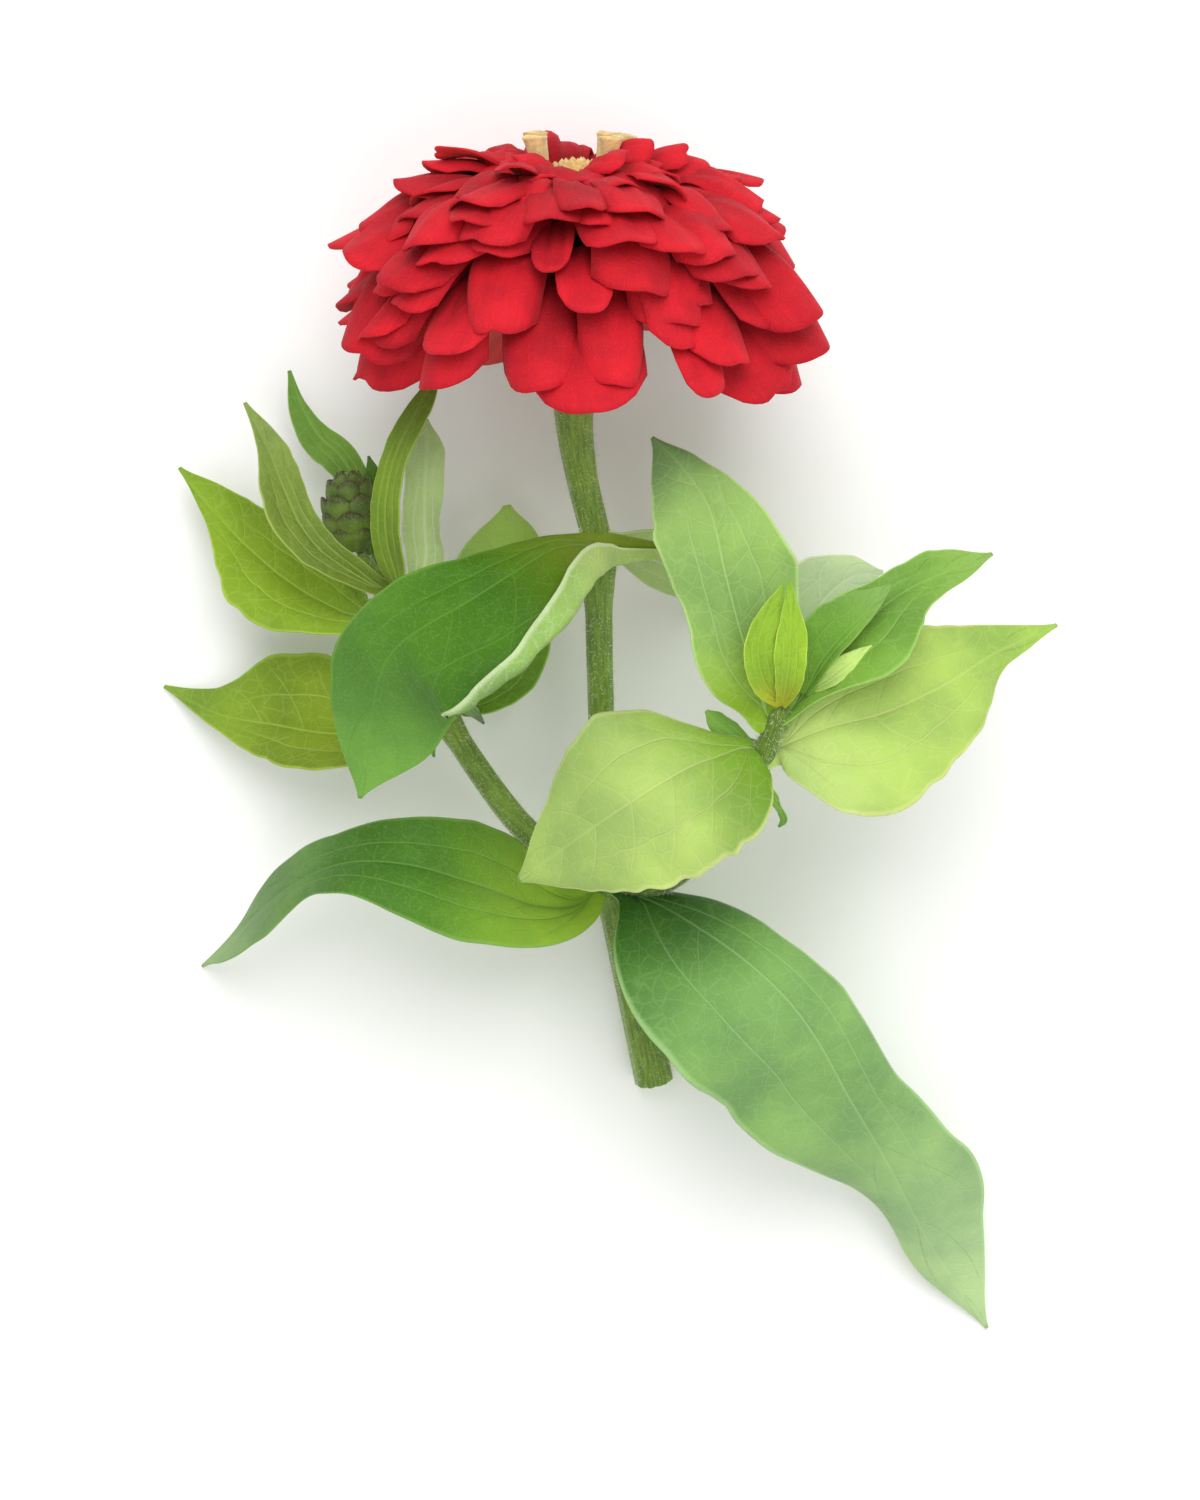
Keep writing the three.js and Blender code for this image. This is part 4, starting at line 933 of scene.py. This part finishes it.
SMALL_LEAVES = [
    dict(
        midrib=[
            [29.7, 11.1, 43.6], [31.4, 14.9, 45.8], [34.2, 18.6, 46.8], [37.7, 22, 46.2], [41.5, 25.9, 43],
        ],
        left=[1.2, 3, 4.6, 5.4, 5.2, 4.4, 3.2, 1.6, 0.3],
        right=[0.8, 1.3, 1.6, 1.8, 1.8, 1.5, 1.2, 0.8, 0.3],
        fold=[24, 20, 10], left_edge=[20, 10, 0], right_edge=[30, 30, 10],
        tones=[(104, 148, 36), (96, 142, 42), (132, 172, 84)],
    ),
    dict(
        midrib=[[30.2, 10.8, 43.4], [32.9, 13, 45.4], [35.6, 15, 46], [38.8, 17.2, 45.2]],
        left=[0.6, 1.2, 1.7, 1.8, 1.4, 0.9, 0.3], right=[0.6, 1.1, 1.5, 1.5, 1.2, 0.7, 0.3],
        fold=[20, 14, 6], left_edge=[20, 10, 0],
        tones=[(160, 196, 84), (172, 206, 104), (176, 208, 112)],
    ),
    dict(
        midrib=[[21.4, 3, 37], [19.4, 4, 36.4], [17.2, 5.4, 36.2], [15.3, 7.4, 36.6]],
        left=[0.6, 1.2, 1.6, 1.6, 1.2, 0.3], right=[0.6, 1.2, 1.6, 1.6, 1.4, 0.3],
        fold=[10, 0, 0], left_edge=[0, -10, -10],
        tones=[(108, 150, 54), (112, 158, 62), (120, 164, 70)],
    ),
    dict(
        midrib=[[24.4, -4.2, 37], [25.6, -6.4, 36.6], [26.4, -8.2, 36.4], [25.8, -9.3, 36.8]],
        left=[0.7, 0.8, 0.5, 0.5, 0.6, 0.2], right=[0.7, 0.8, 0.5, 0.4, 0.4, 0.2],
        fold=[0, 0, 0], left_edge=[0, 0, 0],
        tones=[(120, 158, 60), (108, 150, 56), (96, 136, 50)],
    ),
    dict(
        midrib=[[-21.6, 7.2, 18.4], [-19.8, 7, 19.2], [-18.2, 5.8, 19.6], [-17, 4.4, 19.2]],
        left=[0.6, 0.9, 1, 0.8, 0.5, 0.2],
        fold=[10, 10, 0], left_edge=[20, 10, 0],
        tones=[(104, 140, 52), (128, 158, 96), (96, 120, 90)],
    ),
    dict(
        midrib=[[-23.6, 4.4, 18], [-24.2, 2.4, 18.2], [-24.6, 0.8, 17.6], [-24.4, -0.6, 16.8]],
        left=[0.5, 0.7, 0.6, 0.5, 0.4, 0.2],
        fold=[10, 10, 0], left_edge=[20, 10, 0],
        tones=[(104, 140, 52), (120, 152, 80), (92, 124, 60)],
    ),
    dict(
        midrib=[[-33.4, 34, 13.6], [-33.2, 38, 14], [-33.4, 41, 14], [-34, 43.4, 13.4]],
        left=[1.2, 1.6, 1.8, 1.6, 0.9, 0.2],
        fold=[10, 10, 0], left_edge=[20, 10, 0],
        tones=[(70, 108, 20), (64, 102, 16), (70, 106, 24)],
    ),
]
small = []
for index, leaf in enumerate(SMALL_LEAVES):
    start, second = np.array(leaf["midrib"][:2])
    place = {"root": start - SMALL_SUNK * (second - start), "facing": SMALL_FACING}
    blade, vein_step = leaf_blade({**leaf, **place}, FIRST_SMALL_SEED + index, SMALL_GRID)
    tones = leaf["tones"]
    skin = leaf_skin(f"small_leaf_{index}", tones, SMALL_VEIN_STEP, lighter(tones[1], 46), 0.3, 0.05)
    blade.data.materials[0] = skin
    blade.data.materials[1] = skin
    small.append(blade)
small = joined("small_leaves", small)
smoothed(small)
settle(small)


# ---------------------------------------------------------------- bud
# The closed bud is an egg of overlapping round scales, dark at their thin margins. Each scale is a
# small bent sheet that wraps the egg, and six stand in each ring, set between those of the ring below.

BUD_CORE = (3.6, 11.9, 1.0)  # radius, length and the height of its foot
BUD_TILT, BUD_TURN = 2, 5  # degrees that it rises from the table, and that it leans to the left
BUD_SCALES = 6
# Each ring's foot and rim, as a height and a radius.
BUD_RINGS = [
    ((1.0, 2.2), (4.4, 3.9)), ((2.6, 3.0), (6.8, 4.3)), ((4.8, 3.4), (9.3, 4.1)),
    ((7.2, 3.3), (11.6, 3.2)), ((9.4, 2.6), (12.7, 1.5)),
]
SCALE_OUTLINE = (0.5, 0.9, 1, 0.85)
SCALE_GRID = (8, 8)
SCALE_THICKNESS, SCALE_MARGIN = 0.3, 0.5
NEARLY_ALL = 0.985  # keeps a rounded end's corners from pinching to a point


def laid(tilt, turn, foot):
    """Turns a thing that stands on its foot at the drawing's zero to where the plant carries it."""
    turned = Matrix.Rotation(math.radians(turn), 3, "Z") @ Matrix.Rotation(math.radians(tilt - 90), 3, "X")
    return lambda spots: spots @ np.array(turned).T + foot - MIDDLE


def rounded(across, power):
    """How far a sheet's end falls back from its middle to its corners, as a share."""
    return 1 - (1 - np.abs(NEARLY_ALL * across) ** power) ** (1 / power)


def scale_sheet(foot, rim, turn, width, wrap, lift, rounding):
    """A thin rounded scale that rises from a foot to a rim round an upright axis. Its map holds the
    way across in mm, the place along and the share across."""
    out = np.array([math.cos(turn), math.sin(turn), 0])
    middle_height = 0.45 * foot[0] + 0.55 * rim[0]
    middle_radius = 0.4 * foot[1] + 0.6 * rim[1] + 0.35
    midrib = [
        out * (foot[1] - 0.4) + [0, 0, foot[0]], out * middle_radius + [0, 0, middle_height],
        out * (rim[1] + lift) + [0, 0, rim[0] + 0.3],
    ]
    widths, edges = [width * share for share in SCALE_OUTLINE], [-wrap, -wrap]
    blade = {
        "facing": [out, out], "left": widths, "right": widths, "left_edge": edges, "right_edge": edges,
        "fold": [0, 0],
    }
    grid, across, along = flat_grid(*SCALE_GRID)
    place = along - rounding * rounded(across, 3) * along**2
    spots, _, half = blade_surface(blade, Curve(midrib), across, place)
    store(grid, "flat_map", np.column_stack([across * half, along, np.abs(across)]))
    move_to(grid, spots)
    return grid


def scale_ring(foot, rim, count, shift, random, wrap, lift):
    """One ring of scales. Their margins turn in by wrap degrees, and their ends stand out by up to
    lift mm."""
    pieces = []
    for i in range(count):
        turn = 2 * math.pi * (i + shift + random.uniform(-0.08, 0.08)) / count
        width = 1.3 * math.pi * rim[1] / count
        now_lift = lift * random.uniform(0, 1)
        pieces.append(scale_sheet(foot, rim, turn, width, wrap, now_lift, 0.55 * random.uniform(0.8, 1.1)))
    return pieces


def egg(radius, length, foot, narrow=0.0):
    """A smooth core for the scales to lie on; narrow draws its lower half in."""
    bpy.ops.mesh.primitive_uv_sphere_add(segments=24, ring_count=14, radius=MM)
    core = bpy.context.object
    spots = positions(core)
    store(core, "flat_map", spots * [1, 0, 0] + [0, 0.3, 0])
    spots[:, :2] *= 1 - narrow * ((1 - spots[:, 2:]) / 2) ** 2
    move_to(core, spots * [radius, radius, length / 2] + [0, 0, foot + length / 2])
    core.data.materials.append(None)
    return core


def scaly(name, scales, core, lay):
    """Scales given their thickness, on their core, laid down where the plant carries them."""
    sheet = joined(name, scales)
    thickened(sheet, SCALE_THICKNESS, SCALE_MARGIN)
    apply_modifier(sheet, "SUBSURF", levels=1, render_levels=1)
    whole = joined(name, [sheet, egg(*core)])
    move_to(whole, lay(positions(whole)))
    return whole


def scale_skin(item, name, body, rim, patches):
    """Gives a piece green scales with a dark thin rim and fine lines along."""
    material, tree, shader = new_material(name, Roughness=0.6, Sheen_Weight=0.05)
    flat_x, along, share = parts_of(tree, read(tree, "flat_map"))
    skin_now = placed(tree, plant_skin, colour=srgb(*body), patch_size=3.0, patches=patches, fuzz=0.05)
    edge = calculate(tree, "MAXIMUM", fade(tree, along, 0.72, 0.96), fade(tree, share, 0.62, 0.95))
    fray = noise(tree, node(tree, "TexCoord").outputs["Object"], 2400.0)
    rough_edge = calculate(tree, "MULTIPLY", edge, fade(tree, fray, 0.25, 0.6))
    connect(tree, mix(tree, rough_edge, skin_now["Colour"], srgb(*rim)), shader["Base Color"])
    stripes = noise(tree, flat_place(tree, flat_x, along), 4.0)
    bump(tree, calculate(tree, "ADD", stripes, skin_now["Height"]), 0.1, shader)
    for index in range(len(item.data.materials)):
        item.data.materials[index] = material
    smoothed(item)


random = np.random.RandomState(4)
scales = []
for level, (foot, rim) in enumerate(BUD_RINGS):
    scales += scale_ring(foot, rim, BUD_SCALES, level / 2, random, wrap=60, lift=0.05)
bud = scaly("scaly_bud", scales, BUD_CORE, laid(BUD_TILT, BUD_TURN, BUD_FOOT))
scale_skin(bud, "bud_skin", (80, 104, 16), (58, 46, 18), 0.6)
settle(bud, "bud")


# ---------------------------------------------------------------- green cup
# Under the petals sits a cup of overlapping green bracts with dark fringed tips, which flares out of
# the stem's neck. The bracts are bent sheets in rings, over a plain smooth cup.

CUP_RINGS = [
    ((0.6, 3.6), (4.2, 6.9)), ((2.0, 5.6), (6.4, 8.4)), ((4.0, 7.2), (8.8, 9.1)), ((6.4, 8.2), (10.8, 9.4)),
]
CUP_CORE = (8.8, 13, 0, 0.35)  # as the bud's, and how much its lower half is drawn in
BLOOM_TILT, BLOOM_TURN = 6, -1
LOWEST_BRACTS = 8  # each ring above has one more

bracts = []
for level, (foot, rim) in enumerate(CUP_RINGS):
    bracts += scale_ring(foot, rim, LOWEST_BRACTS + level, level / 2, random, wrap=34, lift=0.4)
lay_bloom = laid(BLOOM_TILT, BLOOM_TURN, BLOOM_FOOT)
cup = scaly("bract_cup", bracts, CUP_CORE, lay_bloom)
scale_skin(cup, "bract_skin", (104, 138, 52), (58, 30, 34), 0.4)
settle(cup, "green_cup")


# ---------------------------------------------------------------- disc florets
# The bloom's middle is a low dome of closed florets, and open ones stand out of it: golden tubes whose
# mouths spread into five pointed furry lobes.

RECEPTACLE_TOP = 25.5
DISC_RADIUS = 6.4
OUTER_FLORETS, OUTER_REACH = 9, 4.6
INNER_FLORETS, INNER_REACH = 4, 1.8
TALL, SHORT = (7.2, 8), (1.6, 2.6)  # heights of the florets at the sides and of the others
CLOSED_FLORETS, CLOSED_RADIUS = 46, 0.62
FLORET_LOBES = 5
FLORET_RISES = ((0.5, 1.8), (0.35, 1.1), (0.15, 1.28))  # shares of the height, and how each flares
FLORET_WALL = 0.22
GOLDEN_TURN = 137.5  # degrees between what grows one after the other


def open_floret(height, radius):
    """A tube with a star mouth, standing on the drawing's zero."""
    bpy.ops.object.select_all(action="DESELECT")
    bpy.ops.mesh.primitive_circle_add(vertices=2 * FLORET_LOBES, radius=radius * 0.5 * MM)
    tube = bpy.context.object
    edit_all()
    for rise, flare in FLORET_RISES:
        bpy.ops.mesh.extrude_edges_move(TRANSFORM_OT_translate={"value": (0, 0, rise * height * MM)})
        bpy.ops.transform.resize(value=(flare, flare, 1))
    bpy.ops.object.mode_set(mode="OBJECT")
    spots = positions(tube)
    mouth = spots[:, 2] > spots[:, 2].max() - 1e-6
    lobe = np.cos(FLORET_LOBES * np.arctan2(spots[:, 1], spots[:, 0]))
    spots[mouth] *= (1 + 0.45 * lobe[mouth])[:, None] ** [1, 1, 0]
    spots[mouth, 2] -= 0.1 * height * (lobe[mouth] < 0)
    move_to(tube, spots)
    apply_modifier(tube, "SOLIDIFY", thickness=FLORET_WALL * MM, offset=-1)
    apply_modifier(tube, "SUBSURF", levels=1, render_levels=1)
    return tube


def rotation(degrees, axis):
    return np.array(Matrix.Rotation(math.radians(degrees), 3, axis)).T


random = np.random.RandomState(5)
places = [(OUTER_REACH, i * 40) for i in range(OUTER_FLORETS)]
places += [(INNER_REACH, i * 90 + 20) for i in range(INNER_FLORETS)]
florets = []
for reach, turn in places:
    aside = abs(math.cos(math.radians(turn))) * reach / OUTER_REACH
    heights, radius = (TALL, 1.6) if aside > 0.6 else (SHORT, 1.3)
    floret = open_floret(random.uniform(*heights), radius)
    spots = positions(floret) @ rotation(9 + 5 * aside, "Y") + [reach + 0.5 * aside, 0, RECEPTACLE_TOP + 1.8]
    move_to(floret, spots @ rotation(turn + random.uniform(-8, 8), "Z"))
    florets.append(floret)

for i in range(CLOSED_FLORETS):
    reach = DISC_RADIUS * 0.82 * math.sqrt((i + 0.5) / CLOSED_FLORETS)
    turn = i * math.radians(GOLDEN_TURN)
    bpy.ops.mesh.primitive_ico_sphere_add(subdivisions=1, radius=CLOSED_RADIUS * MM)
    ball = bpy.context.object
    crown = RECEPTACLE_TOP + 1.6 + 3.0 * (1 - (reach / DISC_RADIUS) ** 2)
    move_to(ball, positions(ball) * [1, 1, 1.7] + [reach * math.cos(turn), reach * math.sin(turn), crown])
    florets.append(ball)
dome = egg(DISC_RADIUS - 0.5, 7.4, RECEPTACLE_TOP - 2.6)
disc = joined("floret_disc", [*florets, dome])
move_to(disc, lay_bloom(positions(disc)))
store(disc, "height_map", positions(disc)[:, [1, 1, 1]])

floret_skin, tree, shader = new_material("floret_skin", Roughness=0.6, Sheen_Weight=0.3)
level = parts_of(tree, read(tree, "height_map"))[0]
# The florets turn darker and browner lower down, as painted shade deep in the disc, over their own golden
# tone.
tone = mix(tree, fade(tree, level, 80.0, 84.0), srgb(150, 104, 40), srgb(206, 160, 74))
tone = mix(tree, fade(tree, level, 83.5, 86.5), tone, srgb(222, 192, 128))
covered(tree, shader, 0.12, colour=tone, patch_size=1.4, patches=0.35, fuzz=0.3)
disc.data.materials.clear()
disc.data.materials.append(floret_skin)
for face in disc.data.polygons:
    face.material_index = 0
smoothed(disc)
settle(disc, "disc_florets")


# ---------------------------------------------------------------- ray petals
# Crowded layers of soft velvet petals, narrow at the root and blunt or notched at the end. Each is a
# bent sheet with shallow grooves; their claws are rooted in the cone that carries the disc.

PETAL_OUTLINE = [0.14, 0.34, 0.74, 1.02, 1.06, 0.9]
# Each layer's count, the radius and height in mm of a petal's root, its arch's highest point and its
# tip, and half its width.
PETAL_RINGS = [
    (11, (7.6, 12.4), (20, 13.5), (34.2, -0.2), 6.2), (12, (7.4, 14.4), (20, 17.2), (34.6, 6.6), 6.0),
    (12, (7.2, 16.4), (20, 20.4), (34.2, 12.8), 5.9), (12, (6.9, 18.3), (19, 23.4), (33, 18.6), 5.7),
    (12, (6.6, 20.1), (18, 26), (30.8, 23.6), 5.4), (11, (6.2, 21.8), (15, 27.8), (27, 27.4), 4.9),
    (10, (5.8, 23.2), (12.5, 28.4), (21.6, 29.8), 4.2), (8, (5.4, 24.2), (9.8, 28.6), (16, 31.4), 3.4),
]
# Between the layers stand smaller petals, and short ones crowd round the disc.
EXTRA_RINGS = [
    (14, (7.3, 15.6), (19, 19), (32.6, 9.4), 4.7), (14, (7.0, 17.6), (18.6, 22.4), (32, 15.4), 4.7),
    (14, (6.8, 19.4), (17.8, 25.2), (30.4, 21.2), 4.5), (13, (6.4, 21.2), (16, 27.4), (27.6, 26), 4.2),
    (12, (6.0, 22.8), (13.6, 28.8), (23.4, 29), 3.8), (11, (5.6, 23.8), (11, 29.4), (18.6, 30.8), 3.4),
    (11, (5.2, 24.6), (8.8, 29.6), (14.2, 31.2), 3.2), (10, (4.9, 25.2), (7.4, 30.2), (11.6, 31.6), 2.6),
]
GAP_LAYERS, GAP_MIDDLE, GAP_HALF = 3, 267, 22  # the first extra layers leave a hollow at the front
CLAW_SUNK = 3.5
STEEPEST = (-48, 40)  # degrees that a margin may turn under or up
PETAL_THICKNESS, PETAL_MARGIN = 0.4, 0.6
LOOSENESS = 1.8  # how much less regular the extra petals are
PETAL_GRID, EXTRA_GRID = (12, 24), (8, 16)

# Petals that are easy to see, by layer and place: how far they are turned in degrees, the share of
# their width, how many mm their end is higher, the share of their reach, and degrees that they are cupped.
SHOWN = {
    (0, 7): (9, 1.0, 3.6, 1, 0), (0, 8): (9, 1.3, -0.2, 1, 0), (0, 9): (19, 0.68, 1.0, 1, 0),
    (0, 2): (4, 1, 4.4, 1, 0), (0, 3): (17, 1.1, -2.6, 1, 0), (1, 9): (4, 1, 1.5, 1, 0),
    (1, 4): (-6, 0.95, -3.0, 1, 0), (1, 5): (-4, 0.8, -2.0, 1, 0), (1, 3): (8, 1.1, -1.5, 1, 0),
    (1, 7): (-8, 1, -2, 1.12, 0), (2, 0): (-3, 0.6, -1.5, 0.96, 50), (2, 2): (0, 1, -1, 1.08, 0),
    (3, 4): (0, 1, -1, 1.1, 0), (3, 5): (0, 1, -1, 1.1, 0), (3, 7): (0, 0.55, 0, 0.86, 64),
    (4, 0): (0, 1, -1, 1.08, 0), (4, 11): (0, 1, -1, 1.08, 0),
}
AS_OTHERS = (0, 1, 0, 1, 0)
# Petals at the sides that turn their faces to the front, by layer and place.
TWISTED = {
    (0, 0): -0.8, (0, 10): -0.4, (1, 7): -1.0, (2, 2): -0.8, (2, 3): -0.8, (3, 10): -0.7, (4, 6): -0.6,
    (0, 6): 0.8, (1, 2): 0.9, (2, 9): 0.8, (3, 5): 0.6, (4, 0): 0.6,
}


def seeded(state):
    """The same random numbers as the petals' solids have, from 0 to 1."""
    whole = 2**32
    while True:
        state = (state + 0x6D2B79F5) % whole
        t = (state ^ (state >> 15)) * (1 | state) % whole
        t = ((t + (t ^ (t >> 7)) * (61 | t) % whole) ^ t) % whole
        yield (t ^ (t >> 14)) / whole


def petal_blade(ring, turn, draws, shown=AS_OTHERS, twist=0.0, loose=1.0):
    """One petal, as its solid has it; loose petals are less regular."""
    def jitter(size):
        return (next(draws) * 2 - 1) * size * loose

    _, root, crown, tip, half_width = ring
    more_turn, wider, higher, longer, cupped = shown
    turn = math.radians(turn + jitter(5) + more_turn)
    sway, reach, droop = jitter(1.6), (1 + jitter(0.05)) * longer, jitter(1.3) + higher
    roll, width = jitter(0.22) + twist, half_width * (1 + jitter(0.1)) * wider
    out = np.array([math.cos(turn), math.sin(turn), 0])
    side, up = np.array([-out[1], out[0], 0]), np.array([0, 0, 1])

    def at(spot, share):
        stretch = reach if share else 1
        return out * spot[0] * stretch + side * sway * share**2 * 2 + up * (spot[1] + droop * share)

    def margin():
        return [20, cupped - 18 + jitter(14), cupped - 34 + jitter(20)]

    start = at(root, 0)
    widths = [share * width for share in PETAL_OUTLINE]
    return {
        "midrib": [start - out * CLAW_SUNK, start, at(crown, 0.5), at(tip, 1)],
        "facing": [up, up + side * roll, up + out + side * roll],
        "left": widths, "right": widths, "fold": [8, 2, -6], "left_edge": margin(), "right_edge": margin(),
    }


def petal_sheet(blade, grid_size, random, deepest=1.0):
    """A petal's sheet: grooved, notched at the end, waved at its margins and rolled under."""
    grid, across, along = flat_grid(*grid_size)
    curve = Curve(blade["midrib"])
    rounding = 1.1 * max(blade["left"]) / curve.length * random.uniform(0.8, 1.15)
    notch = random.choice([0.0, 0.3, 0.9]) * random.uniform(0.6, 1.2) * deepest / curve.length
    notch_at = random.uniform(-0.4, 0.4)
    lean = random.uniform(-0.04, 0.04)
    place = along - (rounding * rounded(across, 2.3) + lean * across) * along**3
    place -= notch * np.exp(-(((across - notch_at) / 0.24) ** 2)) * along**8
    blade["wave"] = (random.uniform(0.3, 1.2), random.uniform(0.8, 1.8))
    for name, more in zip(("left_edge", "right_edge"), random.uniform(-16, 14, 2)):
        blade[name] = np.clip(np.array(blade[name]) + [0, 0.5 * more, more], *STEEPEST)
    spots, normal, half = blade_surface(blade, curve, across, place)
    grooves = random.uniform(0.1, 0.25) * np.cos(3 * np.pi * across + random.uniform(-0.6, 0.6))
    curl = random.uniform(-4.0, 0.2) * np.clip((along - 0.66) / 0.34, 0, 1) ** 2
    bulge = random.uniform(-0.5, 0.5) * np.sin(2 * np.pi * along + random.uniform(0, 6))
    in_a_row = grid_size[0] + 1
    middle = np.repeat(normal[in_a_row // 2 :: in_a_row], in_a_row, axis=0)
    spots += normal * (grooves * np.sin(np.pi * along**1.5))[:, None] + middle * (curl + bulge)[:, None]
    move_to(grid, spots)
    tint = random.uniform(0, 1)
    store(grid, "flat_map", np.column_stack([across * half, along, np.abs(across)]))
    store(grid, "petal_map", np.column_stack([along * curve.length, 0 * along + tint, 0 * along]))
    return grid


draws, random = seeded(11), np.random.RandomState(8)
petals = []
for level, ring in enumerate(PETAL_RINGS):
    for index in range(ring[0]):
        turn = level * GOLDEN_TURN + 360 / ring[0] * index
        place = level, index
        blade = petal_blade(ring, turn, draws, SHOWN.get(place, AS_OTHERS), TWISTED.get(place, 0.0))
        petals.append(petal_sheet(blade, PETAL_GRID, random, 0.0 if place in SHOWN else 1.0))
draws = seeded(23)
for level, ring in enumerate(EXTRA_RINGS):
    for index in range(ring[0]):
        turn = (level + 0.5) * GOLDEN_TURN + 360 / ring[0] * index
        blade = petal_blade(ring, turn, draws, loose=LOOSENESS)
        if level >= GAP_LAYERS or abs((turn - GAP_MIDDLE + 180) % 360 - 180) >= GAP_HALF:
            petals.append(petal_sheet(blade, EXTRA_GRID, random))
bloom = joined("petal_layers", petals)
spots = lay_bloom(positions(bloom))
spots[:, 2] = np.maximum(spots[:, 2], PETAL_THICKNESS / 2 + 0.05)
move_to(bloom, spots)
thickened(bloom, PETAL_THICKNESS, PETAL_MARGIN, even=False)

VELVET = dict(Roughness=0.8, Sheen_Roughness=0.4, Subsurface_Weight=0.05, Subsurface_Scale=MM)
SHEEN_TINT = srgb(255, 130, 140)
PETAL_FUZZ = srgb(255, 110, 120)


def petal_skin(name, tones, streak, sheen):
    """Velvet: tones from the root to the end, finer streaks along, and a soft sheen."""
    material, tree, shader = new_material(
        name, Sheen_Weight=sheen, Sheen_Tint=SHEEN_TINT, Specular_IOR_Level=0.2, **VELVET
    )
    flat_x, along = parts_of(tree, read(tree, "flat_map"))[:2]
    way, tint = parts_of(tree, read(tree, "petal_map"))[:2]
    root, middle, end = (srgb(*tone) for tone in tones)
    tone = mix(tree, fade(tree, along, 0.2, 0.66), root, middle)
    tone = mix(tree, fade(tree, along, 0.6, 1.0), tone, end)
    lines = noise(tree, flat_place(tree, flat_x, calculate(tree, "MULTIPLY", way, 0.06)), 2.2, 3.0)
    tone = mix(tree, calculate(tree, "MULTIPLY", fade(tree, lines, 0.35, 0.7), 0.12), tone, srgb(*streak))
    shift = calculate(tree, "MULTIPLY_ADD", tint, 0.3, 0.84)
    grey = node(tree, "CombineColor", enumerate([shift] * 3)).outputs[0]
    tone = mix(tree, 1.0, tone, grey, "MULTIPLY")
    skin_now = covered(
        tree, shader, colour=tone, patch_size=5.0, patches=0.2, fuzz=0.05, fuzz_colour=PETAL_FUZZ
    )
    bump(tree, calculate(tree, "MULTIPLY_ADD", lines, 0.4, skin_now["Height"]), 0.12, shader)
    return material


# The upper face darkens to the root, partly its own dark claw and partly painted shade where the petals
# crowd, and lightens towards the end as painted light.
bloom.data.materials[0] = petal_skin(
    "petal_velvet", [(60, 4, 8), (166, 12, 26), (198, 26, 40)], (140, 8, 20), 0.12
)
bloom.data.materials[1] = petal_skin(
    "petal_underside", [(170, 140, 76), (196, 96, 78), (200, 58, 62)], (214, 140, 110), 0.15
)
smoothed(bloom)
settle(bloom, "ray_petals")

# The cone between the petals' roots, which the disc sits on, dark as painted shade in the gaps between them.
cone = egg(7.4, 22, 5)
cone.name = "petal_cone"
move_to(cone, lay_bloom(positions(cone)))
# Dark red-brown: painted shade between the petals' roots.
shaded_cone_skin, tree, shader = new_material("shaded_cone_skin", Roughness=0.8)
covered(tree, shader, 0.1, colour=srgb(74, 20, 14), patch_size=2.0, patches=0.5, fuzz=0.1)
cone.data.materials[0] = shaded_cone_skin
smoothed(cone)
settle(cone)


# ---------------------------------------------------------------- table, light and camera
# A plain pale table top with soft studio light. The camera stands over the bloom and looks almost
# straight down, at the middle of the flower.

TABLE_SIZE, TABLE_DROP = 6, 0.0004
CAMERA_PLACE = (-0.0008, 0.0716, 1.03)
AIM_HEIGHT = 0.03  # the camera is aimed at this height, over the middle
LENS = 166

bpy.ops.object.select_all(action="DESELECT")
bpy.ops.mesh.primitive_plane_add(size=TABLE_SIZE, location=(0, 0, -TABLE_DROP))
table = bpy.context.object
table.name = "table"
pale_table, tree, shader = new_material("pale_table", Roughness=0.8, Base_Color=(0.93, 0.93, 0.92, 1))
table.data.materials.append(pale_table)

sky = bpy.data.worlds.new("soft_sky")
sky.use_nodes = True
background = sky.node_tree.nodes["Background"].inputs
background["Color"].default_value = (1, 1, 1, 1)
background["Strength"].default_value = 0.72
bpy.context.scene.world = sky


def soft_light(name, place, size, power):
    """A square lamp that looks at the flower."""
    bpy.ops.object.light_add(type="AREA", location=place)
    lamp = bpy.context.object
    lamp.name = name
    lamp.data.shape = "SQUARE"
    lamp.data.size = size
    lamp.data.energy = power
    lamp.rotation_euler = (-Vector(place)).to_track_quat("-Z", "Y").to_euler()


soft_light("key_light", (0.1, 0.8, 1.3), 1.1, 15)
soft_light("fill_light", (0.5, -0.7, 1.5), 1.4, 6)

bpy.ops.object.camera_add(location=CAMERA_PLACE)
camera = bpy.context.object
camera.name = "camera"
camera.data.lens = LENS
camera.rotation_euler = (-math.atan2(CAMERA_PLACE[1], CAMERA_PLACE[2] - AIM_HEIGHT), 0, 0)
bpy.context.scene.camera = camera
bpy.context.scene.view_settings.view_transform = "Standard"
